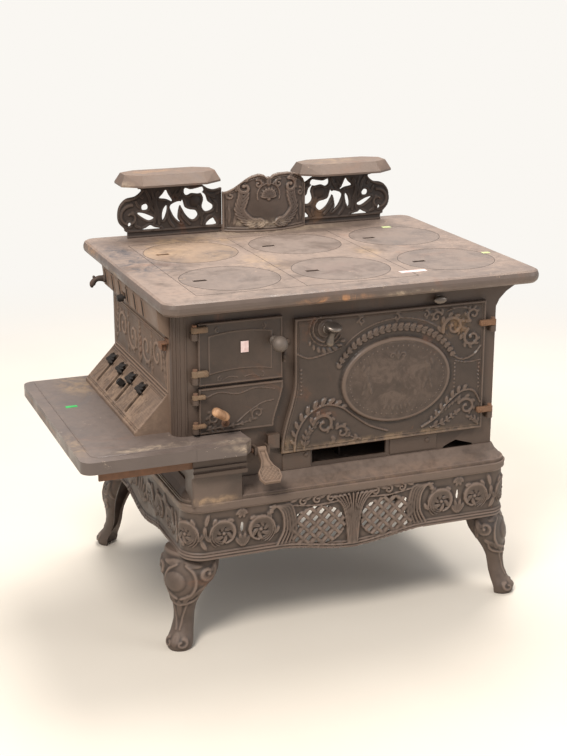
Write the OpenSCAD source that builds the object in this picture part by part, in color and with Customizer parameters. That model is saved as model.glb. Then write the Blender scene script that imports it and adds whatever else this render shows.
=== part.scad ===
// Cast-iron cooking range with six lids, an end firebox, a warming-shelf back and a pierced base.
// X runs to the right along the front, Y to the back, Z up. The floor is Z = 0.

/* [Cook top] */
// Width of the cook top, left to right
top_w = 860; // [780:5:960]
// Depth of the cook top, front to back
top_d = 690; // [640:5:760]
// Thickness of the cook top plate
top_t = 10; // [9:0.5:14]
// Depth of the rounded edge band of the cook top
top_edge = 28; // [24:1:36]
// Corner radius of the cook top
top_corner_r = 34; // [28:1:50]
// Radius of a lid
lid_r = 108; // [96:1:112]
// Thickness of a lid
lid_t = 5.5; // [4.5:0.5:7]
// Gap around a lid
lid_gap = 0.6; // [0.4:0.1:1]
// Left-to-right distance between lid centres
lid_pitch_x = 256; // [246:1:270]
// Front-to-back distance between lid centres
lid_pitch_y = 271; // [250:1:290]

/* [Body] */
// Height of the cooking surface above the foot of the body
body_h = 412; // [405:1:500]
// Overhang of the cook top past the right end wall
right_overhang = 83; // [60:1:100]
// Overhang of the cook top past the left end wall
left_overhang = 66; // [50:1:90]
// Overhang of the cook top past the front
front_overhang = 60; // [40:1:80]
// Overhang of the cook top past the back
back_overhang = 40; // [25:1:50]
// Thickness of the cast walls
wall_t = 6; // [5:0.5:8]
// How far the firebox end stands out past the left end wall
firebox_bulge = 32; // [24:1:40]
// Front-to-back length of the firebox end
firebox_len = 460; // [420:5:480]
// Radius of the rounded column at the front left corner
column_r = 24; // [18:1:30]
// Height of the hearth above the foot of the body
hearth_rise = 112; // [100:1:120]

/* [Oven] */
// Inner width of the oven
oven_w = 420; // [380:5:440]
// Inner height of the oven
oven_h = 268; // [220:1:275]
// Room left for the flue behind the oven
back_flue = 60; // [40:1:90]
// Thickness of the oven's sheet walls
oven_t = 4; // [3:0.5:5]
// Height of the oven's floor above the foot of the body
oven_rise = 62; // [56:1:68]

/* [Doors] */
// Width of the firebox door
fire_door_w = 185; // [160:1:200]
// Height of the firebox door
fire_door_h = 134; // [110:1:150]
// Height of the ash door
ash_door_h = 99; // [85:1:105]
// Thickness of the firebox and ash doors
door_t = 8; // [7:0.5:10]
// Thickness of the oven door
oven_door_t = 10; // [8:0.5:12]
// Running gap behind each door
door_gap = 0.4; // [0.3:0.1:1]
// How far each door laps over its opening
door_lap = 12; // [9:1:14]
// Radius of the hinge and pedal pins
pin_r = 3; // [2.5:0.1:3.5]
// Radial clearance of a pin in its knuckle
pin_gap = 0.05; // [0.02:0.01:0.08]
// Outer radius of the hinge knuckles
knuckle_r = 7; // [6:0.5:7.5]

/* [Hearth] */
// How far the hearth shelf reaches past the firebox end
hearth_reach = 216; // [180:2:260]
// How far the hearth reaches in front of the body
hearth_front = 83; // [70:1:95]
// Depth of the hearth's edge band
hearth_edge = 26; // [22:1:32]
// Thickness of the hearth plate
hearth_t = 7; // [6:0.5:9]

/* [Base] */
// Height of the legs up to the skirt
leg_h = 205; // [190:1:225]
// Height of the skirt
skirt_h = 113; // [100:1:125]
// Thickness of the skirt castings
skirt_t = 8; // [6:0.5:10]
// How far the skirt's centre dips below its ends
skirt_dip = 21; // [10:1:30]
// How far the base lip stands out past the ends of the body
lip_side = 31; // [24:1:40]
// How far the base lip stands out in front of the body
lip_front = 50; // [40:1:60]
// Radius of a foot
foot_r = 29; // [24:1:32]
// Half-width of a leg's knee
knee_r = 70; // [55:1:75]

/* [Warming shelves] */
// Length of a warming shelf
shelf_w = 244; // [220:2:270]
// Depth of a warming shelf
shelf_d = 128; // [100:2:140]
// Height of a warming shelf above the cook top
shelf_rise = 129; // [110:1:150]
// Thickness of a warming shelf
shelf_t = 26; // [20:1:32]
// Width of the bowed splash panel
splash_w = 216; // [200:2:230]
// Height of the splash panel
splash_h = 141; // [120:1:160]
// How far the splash panel bows forward
splash_bow = 36; // [28:1:44]

/* [Hidden] */
$fn = 64;

fit = 0.3;                                   // running gap of sliding pieces

// Heights, built up from the floor
lip_z = leg_h + skirt_h;
body_foot_z = lip_z + 40;
top_z = body_foot_z + body_h;
hearth_z = body_foot_z + hearth_rise;
oven_z = body_foot_z + oven_rise;

// Cook top
top_x1 = top_w / 2;
top_y1 = top_d / 2;
plate_z = top_z - top_t;                     // underside of the cook top plate
rim_z = top_z - top_edge;                    // underside of the edge band
rim_w = 14;                                  // width of the edge band
flange_t = 7;                                // flange under the plate, over the walls
wall_top = plate_z - flange_t;
lid_mid = [25, -31.5];                       // centre of the six lids
lid_x = [for (i = [-1:1]) lid_mid[0] + i * lid_pitch_x];
lid_y = [for (j = [-0.5, 0.5]) lid_mid[1] + j * lid_pitch_y];
lid_seat = 10;                               // width of the ledge under a lid
cover_gap = 0.4;
cover_x = [lid_x[0] - lid_r - 6, lid_x[0] + lid_pitch_x / 2, lid_x[1] + lid_pitch_x / 2];
cover_y = [lid_y[0] - lid_r - 15, lid_y[1] + lid_r + 10];
cover_seat = 12;

// Body
front_y = -top_y1 + front_overhang;
back_y = top_y1 - back_overhang;
body_x1 = top_x1 - right_overhang;
body_x0 = -top_x1 + left_overhang;
end_x = body_x0 - firebox_bulge;             // outer face of the firebox end
end_y1 = front_y + firebox_len;
frame_back = front_y + wall_t;
cove_z = top_z - 87;                         // where the coves under the top begin
cove_out = rim_w + 12;

// Oven
oven_x1 = body_x1 - 45;
oven_x0 = oven_x1 - oven_w;
oven_top = oven_z + oven_h;
oven_y1 = back_y - wall_t - back_flue - oven_t;

// Doors
door_y = front_y - door_gap;                 // back face of every door
fire_x = [end_x + 51, end_x + 51 + fire_door_w];
ash_z = [hearth_z + 3, hearth_z + 3 + ash_door_h];
fire_z = [ash_z[1] + 6, ash_z[1] + 6 + fire_door_h];
left_axis = [fire_x[0] - 8, front_y - 11];
oven_door_x = [oven_x0 - 15, oven_x1 + 15];
oven_door_z = [oven_z - 12, oven_top + 14];
right_axis = [oven_door_x[1] + 17, front_y - 13];
latch_at = [oven_x0 + 56, oven_top - 12];    // x and z of the latch spindle
spindle_r = 5;
pedal_x = [end_x + 168, end_x + 202];
pedal_axis = [front_y - 15, body_foot_z + 68];

// Hearth
hearth_x0 = end_x - hearth_reach;
hearth_y = [front_y - hearth_front, end_y1 + 37];
hearth_joint_x = end_x + 21;
hearth_x1 = end_x + 146;
hearth_corner_r = 24;
hearth_skin = hearth_z - hearth_t;

// Base
base_x = [body_x0 - lip_side, body_x1 + lip_side];
base_y = [front_y - lip_front, back_y + 30];
base_r = 50;
skirt_in = 6;                                // the skirt stands back from the lip
floor_t = 6;
foot_at = [[base_x[0] - 5, base_y[0] + 35], [base_x[1] + 7, base_y[0] + 35],
           [base_x[0] - 5, base_y[1] - 35], [base_x[1] + 7, base_y[1] - 35]];

// Warming shelves
splash_x = 20;
shelf_y = back_y - 2;
shelf_x = [splash_x - splash_w / 2 - 134, splash_x + splash_w / 2 + 98];
shelf_z = top_z + shelf_rise;
bracket_y = back_y - 5;
bracket_t = 8;
splash_t = 6;
splash_r = (pow(splash_w / 2, 2) + pow(splash_bow, 2)) / (2 * splash_bow);
splash_cy = bracket_y - splash_bow + splash_r;
plinth_h = 14;

// Flue
flue_x = [splash_x - 90, splash_x + 90];
flue_depth = 80;
flue_y1 = back_y + flue_depth;
collar_y = back_y + 36;
collar_half = [44, 28];                      // straight half-length and inner radius of the oval collar
collar_t = 5;
collar_h = 42;

// Registers
slope_top = hearth_z + 82;
slope_out = 74;
slope_foot = 4;
register_t = 6;
register_y = [front_y + 41, end_y1];
slot_w = 14;
check_slot_w = 11;
draft_slots = [for (i = [0:3]) register_y[1] - 63 - i * 80];
check_slots = [for (i = [0:5]) end_y1 - 27 - i * 60];
slide_t = 3;
draft_travel = 40;
check_travel = 28;

iron = [0.27, 0.24, 0.22];
dusty = [0.42, 0.37, 0.34];
rust = [0.45, 0.27, 0.16];
nickel = [0.60, 0.58, 0.56];
wood = [0.72, 0.52, 0.36];

// ---------- shared shapes ----------

function smooth(t) = let (c = min(1, max(0, t))) c * c * (3 - 2 * c);
// Left edge of the oven door and right edge of the ash door, which follow one S-curve
function oven_door_edge(z) = oven_door_x[0] - 30 * smooth((oven_door_z[0] + 160 - z) / 150);
function ash_door_edge(z) = oven_door_x[0] - 26 - 22 * smooth((ash_z[1] - 4 - z) / 96);

module rounded(x0, y0, x1, y1, r) {
    translate([x0 + r, y0]) square([x1 - x0 - 2 * r, y1 - y0]);
    translate([x0, y0 + r]) square([x1 - x0, y1 - y0 - 2 * r]);
    for (x = [x0 + r, x1 - r], y = [y0 + r, y1 - r])
        translate([x, y]) circle(r);
}

module slab(x0, y0, z0, x1, y1, z1) {
    translate([x0, y0, z0]) cube([x1 - x0, y1 - y0, z1 - z0]);
}

// An outline drawn in X and Z, extruded from y0 back to y1
module upright(y0, y1) {
    translate([0, y1, 0]) rotate([90, 0, 0]) linear_extrude(y1 - y0) children();
}

// An outline drawn in X and Z, run along Y from y0 to y1: the same as upright, kept for profiles
module run(y0, y1) {
    upright(y0, y1) children();
}

module rod(from, to, r) {
    v = to - from;
    len = norm(v);
    translate(from)
        rotate([0, acos(v[2] / len), atan2(v[1], v[0])])
            cylinder(r = r, h = len);
}

// ---------- base ----------

function base_outline(inset_x, inset_y) =
    [base_x[0] + inset_x, base_y[0] + inset_y, base_x[1] - inset_x, base_y[1] - inset_y];

module base_slab(inset_x, inset_y, z0, z1, r) {
    b = base_outline(inset_x, inset_y);
    translate([0, 0, z0]) linear_extrude(z1 - z0) rounded(b[0], b[1], b[2], b[3], r);
}

cavetto_top = body_foot_z + 8;
lip_h = 12;
bead_h = 8;
module base_plate() color(dusty) {
    difference() {
        union() {
            base_slab(0, 0, lip_z, lip_z + lip_h, base_r);
            base_slab(4, 4, lip_z + lip_h, lip_z + lip_h + bead_h, base_r - 4);
            hull() {
                base_slab(7, 8, lip_z + lip_h + bead_h, lip_z + lip_h + bead_h + 1, base_r - 8);
                base_slab(lip_side * 0.6, lip_front * 0.62, body_foot_z - 6, body_foot_z - 5, 26);
            }
            hull() {
                base_slab(lip_side * 0.6, lip_front * 0.62, body_foot_z - 6, body_foot_z - 5, 26);
                base_slab(lip_side - 4, lip_front - 4, cavetto_top - 1, cavetto_top, 6);
            }
            // raised seat under the hearth box
            slab(hearth_joint_x, front_y - 47, lip_z + lip_h, hearth_x1 - 16, front_y, seat_z);
        }
        // the body stands in this recess
        slab(body_x0, front_y, body_foot_z, body_x1, back_y, seat_z + 1);
        slab(body_x0 + 12, front_y + 12, lip_z - 1, body_x1 - 12, back_y - 12, body_foot_z - floor_t);
    }
}
seat_z = body_foot_z + 37;                   // top of the raised seat

// Lower edge of a skirt: it dips in a smooth belly at its centre
function skirt_low(t) = leg_h - skirt_dip * (0.5 + 0.5 * cos(180 * min(1, abs(t))));
belly = [-10, 180];                          // centre and half-length of the front belly
module skirt_outline(x0, x1, mid, half) {
    steps = 24;
    low = [for (i = [-steps:steps]) [mid + half * i / steps, skirt_low(i / steps)]];
    polygon(concat([[x0, leg_h]], low, [[x1, leg_h], [x1, lip_z], [x0, lip_z]]));
}

lattice_side = 12;
lattice_pitch = 23;
module lattice_holes(mid_x, side) {
    for (i = [-3:3], j = [-2:2]) {
        x = (i + 0.5 * abs(j % 2)) * lattice_pitch;
        z = j * lattice_pitch / 2;
        if (pow(x / 72, 2) + pow(z / 36, 2) < 1)
            translate([mid_x + x, leg_h + 38 + z])
                rotate(45) square(lattice_side, center = true);
    }
}

// Two C-scrolls cut right through, with a leaf between them
module scroll_holes(side) {
    for (c = [[215, 1], [300, -1]]) translate([belly[0] + side * c[0], leg_h + 50]) scale([side * c[1], 1])
        difference() {
            circle(r = 25);
            translate([-2, 3]) circle(r = 15);
            translate([-30, -30]) square([60, 13]);
            translate([-34, -34]) square([18, 68]);
        }
    for (c = [[258, 28, 6], [170, 40, 7], [345, 44, 7], [258, 76, 5]])
        translate([belly[0] + side * c[0], leg_h + c[1]]) circle(r = c[2]);
}

skirt_x = [base_x[0] + skirt_in, base_x[1] - skirt_in];
skirt_y = [base_y[0] + skirt_in, base_y[1] - skirt_in];
skirt_r = base_r - skirt_in;
// A rounded corner of the skirt with the flat gusset that a leg bolts to
module skirt_corner(sx, sy) {
    cx = sx > 0 ? skirt_x[1] - skirt_r : skirt_x[0] + skirt_r;
    cy = sy > 0 ? skirt_y[1] - skirt_r : skirt_y[0] + skirt_r;
    translate([cx, cy, leg_h]) rotate(sx > 0 ? (sy > 0 ? 0 : 270) : (sy > 0 ? 90 : 180)) {
        rotate_extrude(angle = 90)
            translate([skirt_r - skirt_t, 0]) square([skirt_t, skirt_h]);
        difference() {
            linear_extrude(gusset_t) union() {
                intersection() {
                    circle(r = skirt_r - skirt_t + 1);
                    square(skirt_r);
                }
                translate([-20, -20]) square([21, skirt_r + 20 - skirt_t]);
                translate([-20, -20]) square([skirt_r + 20 - skirt_t, 21]);
            }
            translate([leg_bolt_in, leg_bolt_in, -1]) cylinder(r = leg_bolt_r + 0.5, h = gusset_t + 2);
        }
    }
}
gusset_t = 7;
leg_bolt_r = 4;
leg_bolt_in = 2;

module skirt_front() color(dusty) {
    upright(skirt_y[0], skirt_y[0] + skirt_t) difference() {
        skirt_outline(skirt_x[0] + skirt_r, skirt_x[1] - skirt_r, belly[0], belly[1]);
        for (s = [-1, 1]) {
            lattice_holes(belly[0] + s * 82, s);
            scroll_holes(s);
        }
    }
    for (sx = [-1, 1]) skirt_corner(sx, -1);
}

module skirt_back() color(iron) {
    upright(skirt_y[1] - skirt_t, skirt_y[1])
        skirt_outline(skirt_x[0] + skirt_r, skirt_x[1] - skirt_r, belly[0], belly[1]);
    for (sx = [-1, 1]) skirt_corner(sx, 1);
}

// A side skirt lies between the corners of the front and back skirts
module side_skirt(x0) {
    translate([x0, 0, 0]) rotate([90, 0, 90]) linear_extrude(skirt_t)
        skirt_outline(skirt_y[0] + skirt_r, skirt_y[1] - skirt_r, 0, 150);
}
module skirt_left() color(iron) side_skirt(skirt_x[0]);
module skirt_right() color(iron) side_skirt(skirt_x[1] - skirt_t);

// A cabriole leg as rings: share of leg_h, set back along the corner's diagonal, half-depth
// along that diagonal and half-width across it
leg_rings = [
    [0, 0, foot_r - 3, foot_r - 3], [0.03, 0, foot_r, foot_r], [0.09, 1, foot_r, foot_r + 1],
    [0.17, 11, foot_r - 6, foot_r - 5], [0.28, 20, foot_r - 10, foot_r - 9],
        [0.37, 23, foot_r - 10, foot_r - 9],
    [0.46, 25, foot_r - 7, foot_r - 6], [0.55, 28, knee_r * 0.41, knee_r * 0.46],
    [0.64, 32, knee_r * 0.52, knee_r * 0.65], [0.73, 39, knee_r * 0.62, knee_r * 0.85],
    [0.83, 48, knee_r * 0.68, knee_r], [0.92, 55, knee_r * 0.67, knee_r * 0.96],
        [1, 60, knee_r * 0.62, knee_r * 0.86]
];
leg_sides = 20;
function ring_points(r, at, sx, sy) = [for (k = [0:leg_sides - 1])
    let (a = 360 * k / leg_sides, u = r[1] + r[2] * cos(a), v = r[3] * sin(a) * sx * sy)
        [at[0] + 0.7071 * (-sx * u + sy * v), at[1] + 0.7071 * (-sy * u - sx * v), r[0] * leg_h]];
module leg(i) color(dusty) {
    sx = i % 2 == 0 ? -1 : 1;
    sy = i < 2 ? -1 : 1;
    n = leg_sides;
    m = len(leg_rings);
    pts = [for (r = leg_rings) each ring_points(r, foot_at[i], sx, sy)];
    sides = [for (j = [0:m - 2], k = [0:n - 1])
        [j * n + k, (j + 1) * n + k, (j + 1) * n + (k + 1) % n, j * n + (k + 1) % n]];
    difference() {
        polyhedron(points = pts, faces = concat(
            [[for (k = [0:n - 1]) k]], sides, [[for (k = [n - 1:-1:0]) (m - 1) * n + k]]));
        translate([leg_bolt_at(i)[0], leg_bolt_at(i)[1], leg_h - 30]) cylinder(r = leg_bolt_r + 0.05, h = 31);
    }
}
function leg_bolt_at(i) = [
    (i % 2 == 0 ? skirt_x[0] + skirt_r - leg_bolt_in : skirt_x[1] - skirt_r + leg_bolt_in),
    (i < 2 ? skirt_y[0] + skirt_r - leg_bolt_in : skirt_y[1] - skirt_r + leg_bolt_in)];
module leg_bolts() color(rust) for (i = [0:3]) translate(leg_bolt_at(i)) {
    translate([0, 0, leg_h - 26]) cylinder(r = leg_bolt_r, h = 26 + gusset_t);
    translate([0, 0, leg_h + gusset_t]) cylinder(r = 8, h = 6, $fn = 6);
}

// ---------- body ----------

module fire_opening() translate([fire_x[0] + door_lap, fire_z[0] + door_lap])
    square([fire_x[1] - fire_x[0] - 2 * door_lap, fire_z[1] - fire_z[0] - 2 * door_lap]);
module ash_opening() translate([fire_x[0] + door_lap, ash_z[0] + 9])
    square([137, ash_z[1] - ash_z[0] - 20]);
module oven_opening() translate([oven_x0, oven_z]) square([oven_w, oven_h]);
cleanout = [oven_x0 + 29, oven_x0 + 204, body_foot_z + 16, body_foot_z + 46];
module cleanout_opening() translate([cleanout[0], cleanout[2]])
    square([cleanout[1] - cleanout[0], cleanout[3] - cleanout[2]]);
// The piece that has broken out of the foot of the front, at the right
module broken_corner() translate([oven_x1, body_foot_z]) polygon([[-80, -1], [-74, 12], [-59, 19],
    [-43, 25], [-32, 21], [-2, 12], [2, -1]]);

column_x = end_x + column_r;
damper_at = [oven_x1 - 100, oven_top + 26];
damper_r = 4;
ear_t = 6;
module frame_knuckle(axis, z0, z1) {
    difference() {
        union() {
            translate([axis[0], axis[1], z0]) cylinder(r = knuckle_r, h = z1 - z0);
            slab(axis[0] - knuckle_r, axis[1], z0, axis[0] + knuckle_r, front_y, z1);
        }
        translate([axis[0], axis[1], z0 - 1]) cylinder(r = pin_r + pin_gap, h = z1 - z0 + 2);
    }
}
// Heights of the door knuckles; each frame knuckle lies just under its door knuckle
knuckle_h = 14;
fire_knuckles = [fire_z[1] - 19, fire_z[0] + 21];
ash_knuckles = [ash_z[1] - 21, ash_z[0] + 15];
oven_knuckles = [oven_top - 43, oven_z + 25];

module front_frame() color(iron) {
    upright(front_y, frame_back) difference() {
        union() {
            translate([column_x, hearth_z]) square([body_x1 - column_x, wall_top - hearth_z]);
            translate([body_x0, body_foot_z]) square([body_x1 - body_x0, hearth_z - body_foot_z]);
        }
        fire_opening();
        ash_opening();
        oven_opening();
        cleanout_opening();
        broken_corner();
        translate(damper_at) circle(r = damper_r + pin_gap);
    }
    // rounded corner column
    translate([column_x, front_y + column_r, hearth_z]) rotate(180) rotate_extrude(angle = 90)
        translate([column_r - wall_t, 0]) square([wall_t, wall_top - hearth_z]);
    for (z = fire_knuckles) frame_knuckle(left_axis, z - knuckle_h, z - fit);
    for (z = ash_knuckles) frame_knuckle(left_axis, z - 10, z - fit);
    for (z = oven_knuckles) frame_knuckle(right_axis, z - knuckle_h, z - fit);
    // pedal ears, the square catch beside them and the keeper of the fire door
    for (x = [pedal_x[0], pedal_x[1] - ear_t]) difference() {
        slab(x, pedal_axis[0] - 8, pedal_axis[1] - 9, x + ear_t, front_y, pedal_axis[1] + 9);
        translate([x - 1, pedal_axis[0], pedal_axis[1]]) rotate([0, 90, 0])
            cylinder(r = pin_r + pin_gap, h = ear_t + 2);
    }
    slab(pedal_x[1] - 1, front_y - 14, body_foot_z + 66, pedal_x[1] + 25, front_y, body_foot_z + 97);
    slab(fire_x[1] + 1, front_y - 12, fire_z[0] + 34, fire_x[1] + 7, front_y, fire_z[0] + 62);
}

module left_side_panel() color(iron)
    translate([body_x0, 0, 0]) rotate([90, 0, 90]) linear_extrude(wall_t) polygon([
        [frame_back, body_foot_z], [back_y - wall_t, body_foot_z], [back_y - wall_t, wall_top],
        [end_y1, wall_top], [end_y1, hearth_z], [frame_back, hearth_z]]);

// The left cove: an apron slopes out from the wall, and a nearly upright slotted face stands on it
cove_x = end_x - cove_out;                   // outermost point of the left cove
cove_foot = [cove_x + 5, cove_z + 14];       // where the apron meets the slotted face
apron_z = cove_z - 6;                        // where the apron leaves the wall
cove_dir = [cove_x, rim_z] - cove_foot;
cove_n = [cove_dir[1], -cove_dir[0]] / norm(cove_dir);
// Points on the slotted face, at a share of its height, offset inwards by d
function on_cove(s, d) = cove_foot + cove_dir * s + cove_n * d;
cove_wall = wall_t / cove_n[0];              // width of the cove's wall, measured along X
module firebox_end_profile() polygon([
    [end_x, hearth_z], [end_x, apron_z], cove_foot, [cove_x, rim_z], [cove_x + cove_wall, rim_z],
    cove_foot + [cove_wall, 0], [end_x + wall_t, apron_z], [end_x + wall_t, hearth_z]]);
module cove_cheek_profile() polygon([
    [end_x + 1, apron_z], cove_foot + [1, 0], [cove_x + 1, rim_z], [end_x + wall_t, rim_z],
    [end_x + wall_t, apron_z]]);
module rounded_slot(y, z0, z1, w) {
    translate([cove_x - 20, y, 0]) rotate([90, 0, 90]) linear_extrude(60) {
        translate([-w / 2, z0 + w / 2]) square([w, z1 - z0 - w]);
        for (z = [z0 + w / 2, z1 - w / 2]) translate([0, z]) circle(r = w / 2);
    }
}
check_knob_y = check_slots[3] + 16;
check_knob_s = 0.3;                          // height of the check knob, as a share of the slotted face
module firebox_end() color(dusty) difference() {
    union() {
        run(front_y + column_r, end_y1) firebox_end_profile();
        run(front_y + column_r, front_y + column_r + wall_t) cove_cheek_profile();
        run(end_y1 - wall_t, end_y1) cove_cheek_profile();
    }
    for (y = check_slots) rounded_slot(y, cove_foot[1] + 3, rim_z - 5, check_slot_w);
    // slot for the shank of the check slide
    slab(cove_x - 1, check_knob_y - 5, on_cove(check_knob_s, 0)[1] - 6, end_x + wall_t + 1,
         check_knob_y + check_travel + 5, on_cove(check_knob_s, 0)[1] + 7);
    // window behind the lower register
    slab(end_x - 1, register_y[0] + 20, hearth_z + 14, end_x + wall_t + 1, register_y[1] - 20,
         slope_top - 18);
}

module right_side_panel() color(iron) {
    run(frame_back, back_y - wall_t) polygon([
        [body_x1, body_foot_z], [body_x1, cove_z], [body_x1 + 8, cove_z + 16], [body_x1 + 24, cove_z + 32],
        [body_x1 + 44, cove_z + 44], [top_x1 - 6, rim_z - 3], [top_x1 - 6, rim_z], [top_x1 - 16, rim_z],
        [body_x1 + 38, cove_z + 48], [body_x1 + 18, cove_z + 36], [body_x1 + 2, cove_z + 19],
        [body_x1 - wall_t, cove_z + 2], [body_x1 - wall_t, body_foot_z]]);
    slab(body_x1 - wall_t, frame_back, cove_z - 10, body_x1, back_y - wall_t, wall_top);
    // the cheek that closes the front end of the cove
    run(front_y, frame_back + wall_t) polygon([
        [body_x1, cove_z], [body_x1 + 8, cove_z + 16], [body_x1 + 24, cove_z + 32],
            [body_x1 + 44, cove_z + 44],
        [top_x1 - 6, rim_z - 3], [top_x1 - 6, rim_z], [body_x1, rim_z]]);
}

flue_port = [flue_x[0] + 20, flue_x[1] - 20, top_z - 170, top_z - 40];
module back_panel() color(iron) upright(back_y - wall_t, back_y) difference() {
    translate([body_x0, body_foot_z]) square([body_x1 - body_x0, wall_top - body_foot_z]);
    translate([flue_port[0], flue_port[2]])
        square([flue_port[1] - flue_port[0], flue_port[3] - flue_port[2]]);
}

flue_foot = top_z - 205;
module flue_box() color(iron) difference() {
    slab(flue_x[0], back_y, flue_foot, flue_x[1], flue_y1, plate_z);
    slab(flue_x[0] + wall_t, back_y - 1, flue_foot + wall_t, flue_x[1] - wall_t, flue_y1 - wall_t,
         plate_z + 1);
}

// ---------- cook top ----------

module edge_profile() polygon([
    [0, 0], [rim_w * 0.5, 0], [rim_w * 0.86, 5], [rim_w, top_edge * 0.4], [rim_w, top_edge * 0.62],
    [rim_w * 0.8, top_edge - 3], [rim_w * 0.45, top_edge], [0, top_edge]]);

module lid_hole(x, y) {
    translate([x, y, plate_z + top_t - lid_t]) cylinder(r = lid_r + lid_gap, h = lid_t + 1);
    translate([x, y, plate_z - flange_t - 1]) cylinder(r = lid_r - lid_seat, h = flange_t + top_t + 1);
}

module collar_oval(r) {
    translate([splash_x - collar_half[0], collar_y - r]) square([2 * collar_half[0], 2 * r]);
    for (s = [-1, 1]) translate([splash_x + s * collar_half[0], collar_y]) circle(r = r);
}

// The bar between the two covers, cut back where a wall stands under it
bar_w = 24;
bar_h = 14;
module cover_bar() difference() {
    slab(cover_x[1] - bar_w / 2, cover_y[0] + cover_seat, plate_z - bar_h,
         cover_x[1] + bar_w / 2, cover_y[1] - cover_seat, plate_z);
    slab(body_x0, front_y, body_foot_z, body_x1, frame_back + fit, wall_top);
    slab(end_x, end_y1 - wall_t - fit, hearth_z, oven_x0 - oven_t + fit, end_y1 + fit, wall_top);
}
module cook_top() color(dusty) difference() {
    union() {
        top_plate();
        cover_bar();
        edge_band();
    }
    // the flue box comes up here, and the pipe collar stands over it
    slab(flue_x[0], back_y, rim_z - 1, flue_x[1], flue_y1 + 1, plate_z);
    translate([0, 0, rim_z]) linear_extrude(top_edge + 1) collar_oval(collar_half[1]);
}

module top_plate() {
    r = top_corner_r - rim_w;
    difference() {
        union() {
            translate([0, 0, plate_z]) linear_extrude(top_t)
                rounded(-top_x1 + rim_w, -top_y1 + rim_w, top_x1 - rim_w, top_y1 - rim_w, r);
            // tongue that carries the pipe collar
            slab(flue_x[0], back_y + 2, plate_z, flue_x[1], flue_y1, top_z);
            // flange over the body's walls
            slab(body_x0 - 10, cover_y[0] - 12, wall_top, body_x1, back_y, plate_z);
        }
        slab(cover_x[0] - cover_gap, cover_y[0] - cover_gap, plate_z,
             cover_x[2] + cover_gap, cover_y[1] + cover_gap, top_z + 1);
        slab(cover_x[0] + cover_seat, cover_y[0] + cover_seat, wall_top - 1,
             cover_x[2] - cover_seat, cover_y[1] - cover_seat, top_z);
        for (y = lid_y) lid_hole(lid_x[2], y);
    }
}

// Rounded edge band: four straight runs and four corners
module edge_band() {
    r = top_corner_r - rim_w;
    for (s = [0, 1]) rotate(180 * s) {
        translate([-top_x1 + top_corner_r, -top_y1 + rim_w, rim_z]) rotate([90, 0, 90])
            mirror([1, 0, 0]) linear_extrude(top_w - 2 * top_corner_r) edge_profile();
        translate([top_x1 - rim_w, top_y1 - top_corner_r, rim_z]) rotate([90, 0, 0])
            linear_extrude(top_d - 2 * top_corner_r) edge_profile();
    }
    for (s = [0:3]) {
        sx = (s == 0 || s == 3) ? 1 : -1;
        sy = s < 2 ? 1 : -1;
        translate([sx * (top_x1 - top_corner_r), sy * (top_y1 - top_corner_r), rim_z]) rotate(90 * s)
            rotate_extrude(angle = 90) translate([r, 0]) edge_profile();
    }
}

module cover(x0, x1, lx) {
    difference() {
        slab(x0, cover_y[0], plate_z, x1, cover_y[1], top_z);
        for (y = lid_y) lid_hole(lx, y);
    }
}
module firebox_cover() color(dusty) cover(cover_x[0], cover_x[1] - cover_gap / 2, lid_x[0]);
module middle_cover() color(dusty) cover(cover_x[1] + cover_gap / 2, cover_x[2], lid_x[1]);

lifter = [30, 13, 3.5];                      // pocket for the lid lifter
module lid(i, j) color(dusty) translate([lid_x[i], lid_y[j], top_z - lid_t]) difference() {
    union() {
        cylinder(r = lid_r, h = lid_t);
        translate([0, 0, -4]) difference() {
            cylinder(r = lid_r * 0.62, h = 5);
            translate([0, 0, -1]) cylinder(r = lid_r * 0.62 - 6, h = 7);
        }
    }
    translate([-lid_r * 0.62 - lifter[0] / 2, -lifter[1] / 2, lid_t - lifter[2]])
        cube([lifter[0], lifter[1], 5]);
}

module pipe_collar() color(rust) difference() {
    union() {
        translate([0, 0, top_z]) linear_extrude(5) collar_oval(collar_half[1] + collar_t + 5);
        translate([0, 0, top_z]) linear_extrude(collar_h) collar_oval(collar_half[1] + collar_t);
    }
    translate([0, 0, top_z - 1]) linear_extrude(collar_h + 2) collar_oval(collar_half[1]);
}

// ---------- back with its warming shelves ----------

module splash_outline() {
    w = splash_w / 2;
    h = splash_h;
    difference() {
        union() {
            translate([-w, 0]) square([2 * w, h * 0.62]);
            for (s = [-1, 1]) translate([s * 45, h - 58]) circle(r = 58);
            translate([-45, 0]) square([90, h - 8]);
        }
        translate([0, h + 12]) circle(r = 16);
        for (s = [-1, 1]) translate([s * (w + 34), h + 2]) circle(r = 52);
    }
    translate([-4, h - 20]) square([8, 18]);
}

module splash_panel() color(iron) intersection() {
    translate([splash_x, splash_cy, top_z]) difference() {
        cylinder(r = splash_r, h = splash_h + 1);
        translate([0, 0, -1]) cylinder(r = splash_r - splash_t, h = splash_h + 3);
    }
    translate([splash_x, 0, top_z]) upright(bracket_y - splash_bow - 10, bracket_y + 2) splash_outline();
}

// Bracket outline, drawn outwards from the splash panel: foot strip, volute, neck and plinth
bracket_len = 236;
plinth = [52, 206];
module bracket_solid() {
    square([bracket_len, 26]);
    translate([bracket_len - 12, 62]) circle(r = 37);
    translate([0, 20]) square([plinth[1] - 4, 78]);
    polygon([[plinth[0], 60], [plinth[1] + 22, 60], [plinth[1] + 2, 98],
        [plinth[1] - 10, shelf_rise - plinth_h],
             [plinth[1], shelf_rise - plinth_h + 3], [plinth[1], shelf_rise], [plinth[0], shelf_rise],
             [plinth[0], shelf_rise - plinth_h + 3], [plinth[0] + 8, shelf_rise - plinth_h]]);
    translate([0, 98]) square([plinth[0] + 10, 14]);
}
// The openings between the scrolls: circles cut back by circles
module crescent(x, z, r, dx, dz, r2) translate([x, z]) difference() {
    circle(r = r);
    translate([dx, dz]) circle(r = r2);
}
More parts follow.
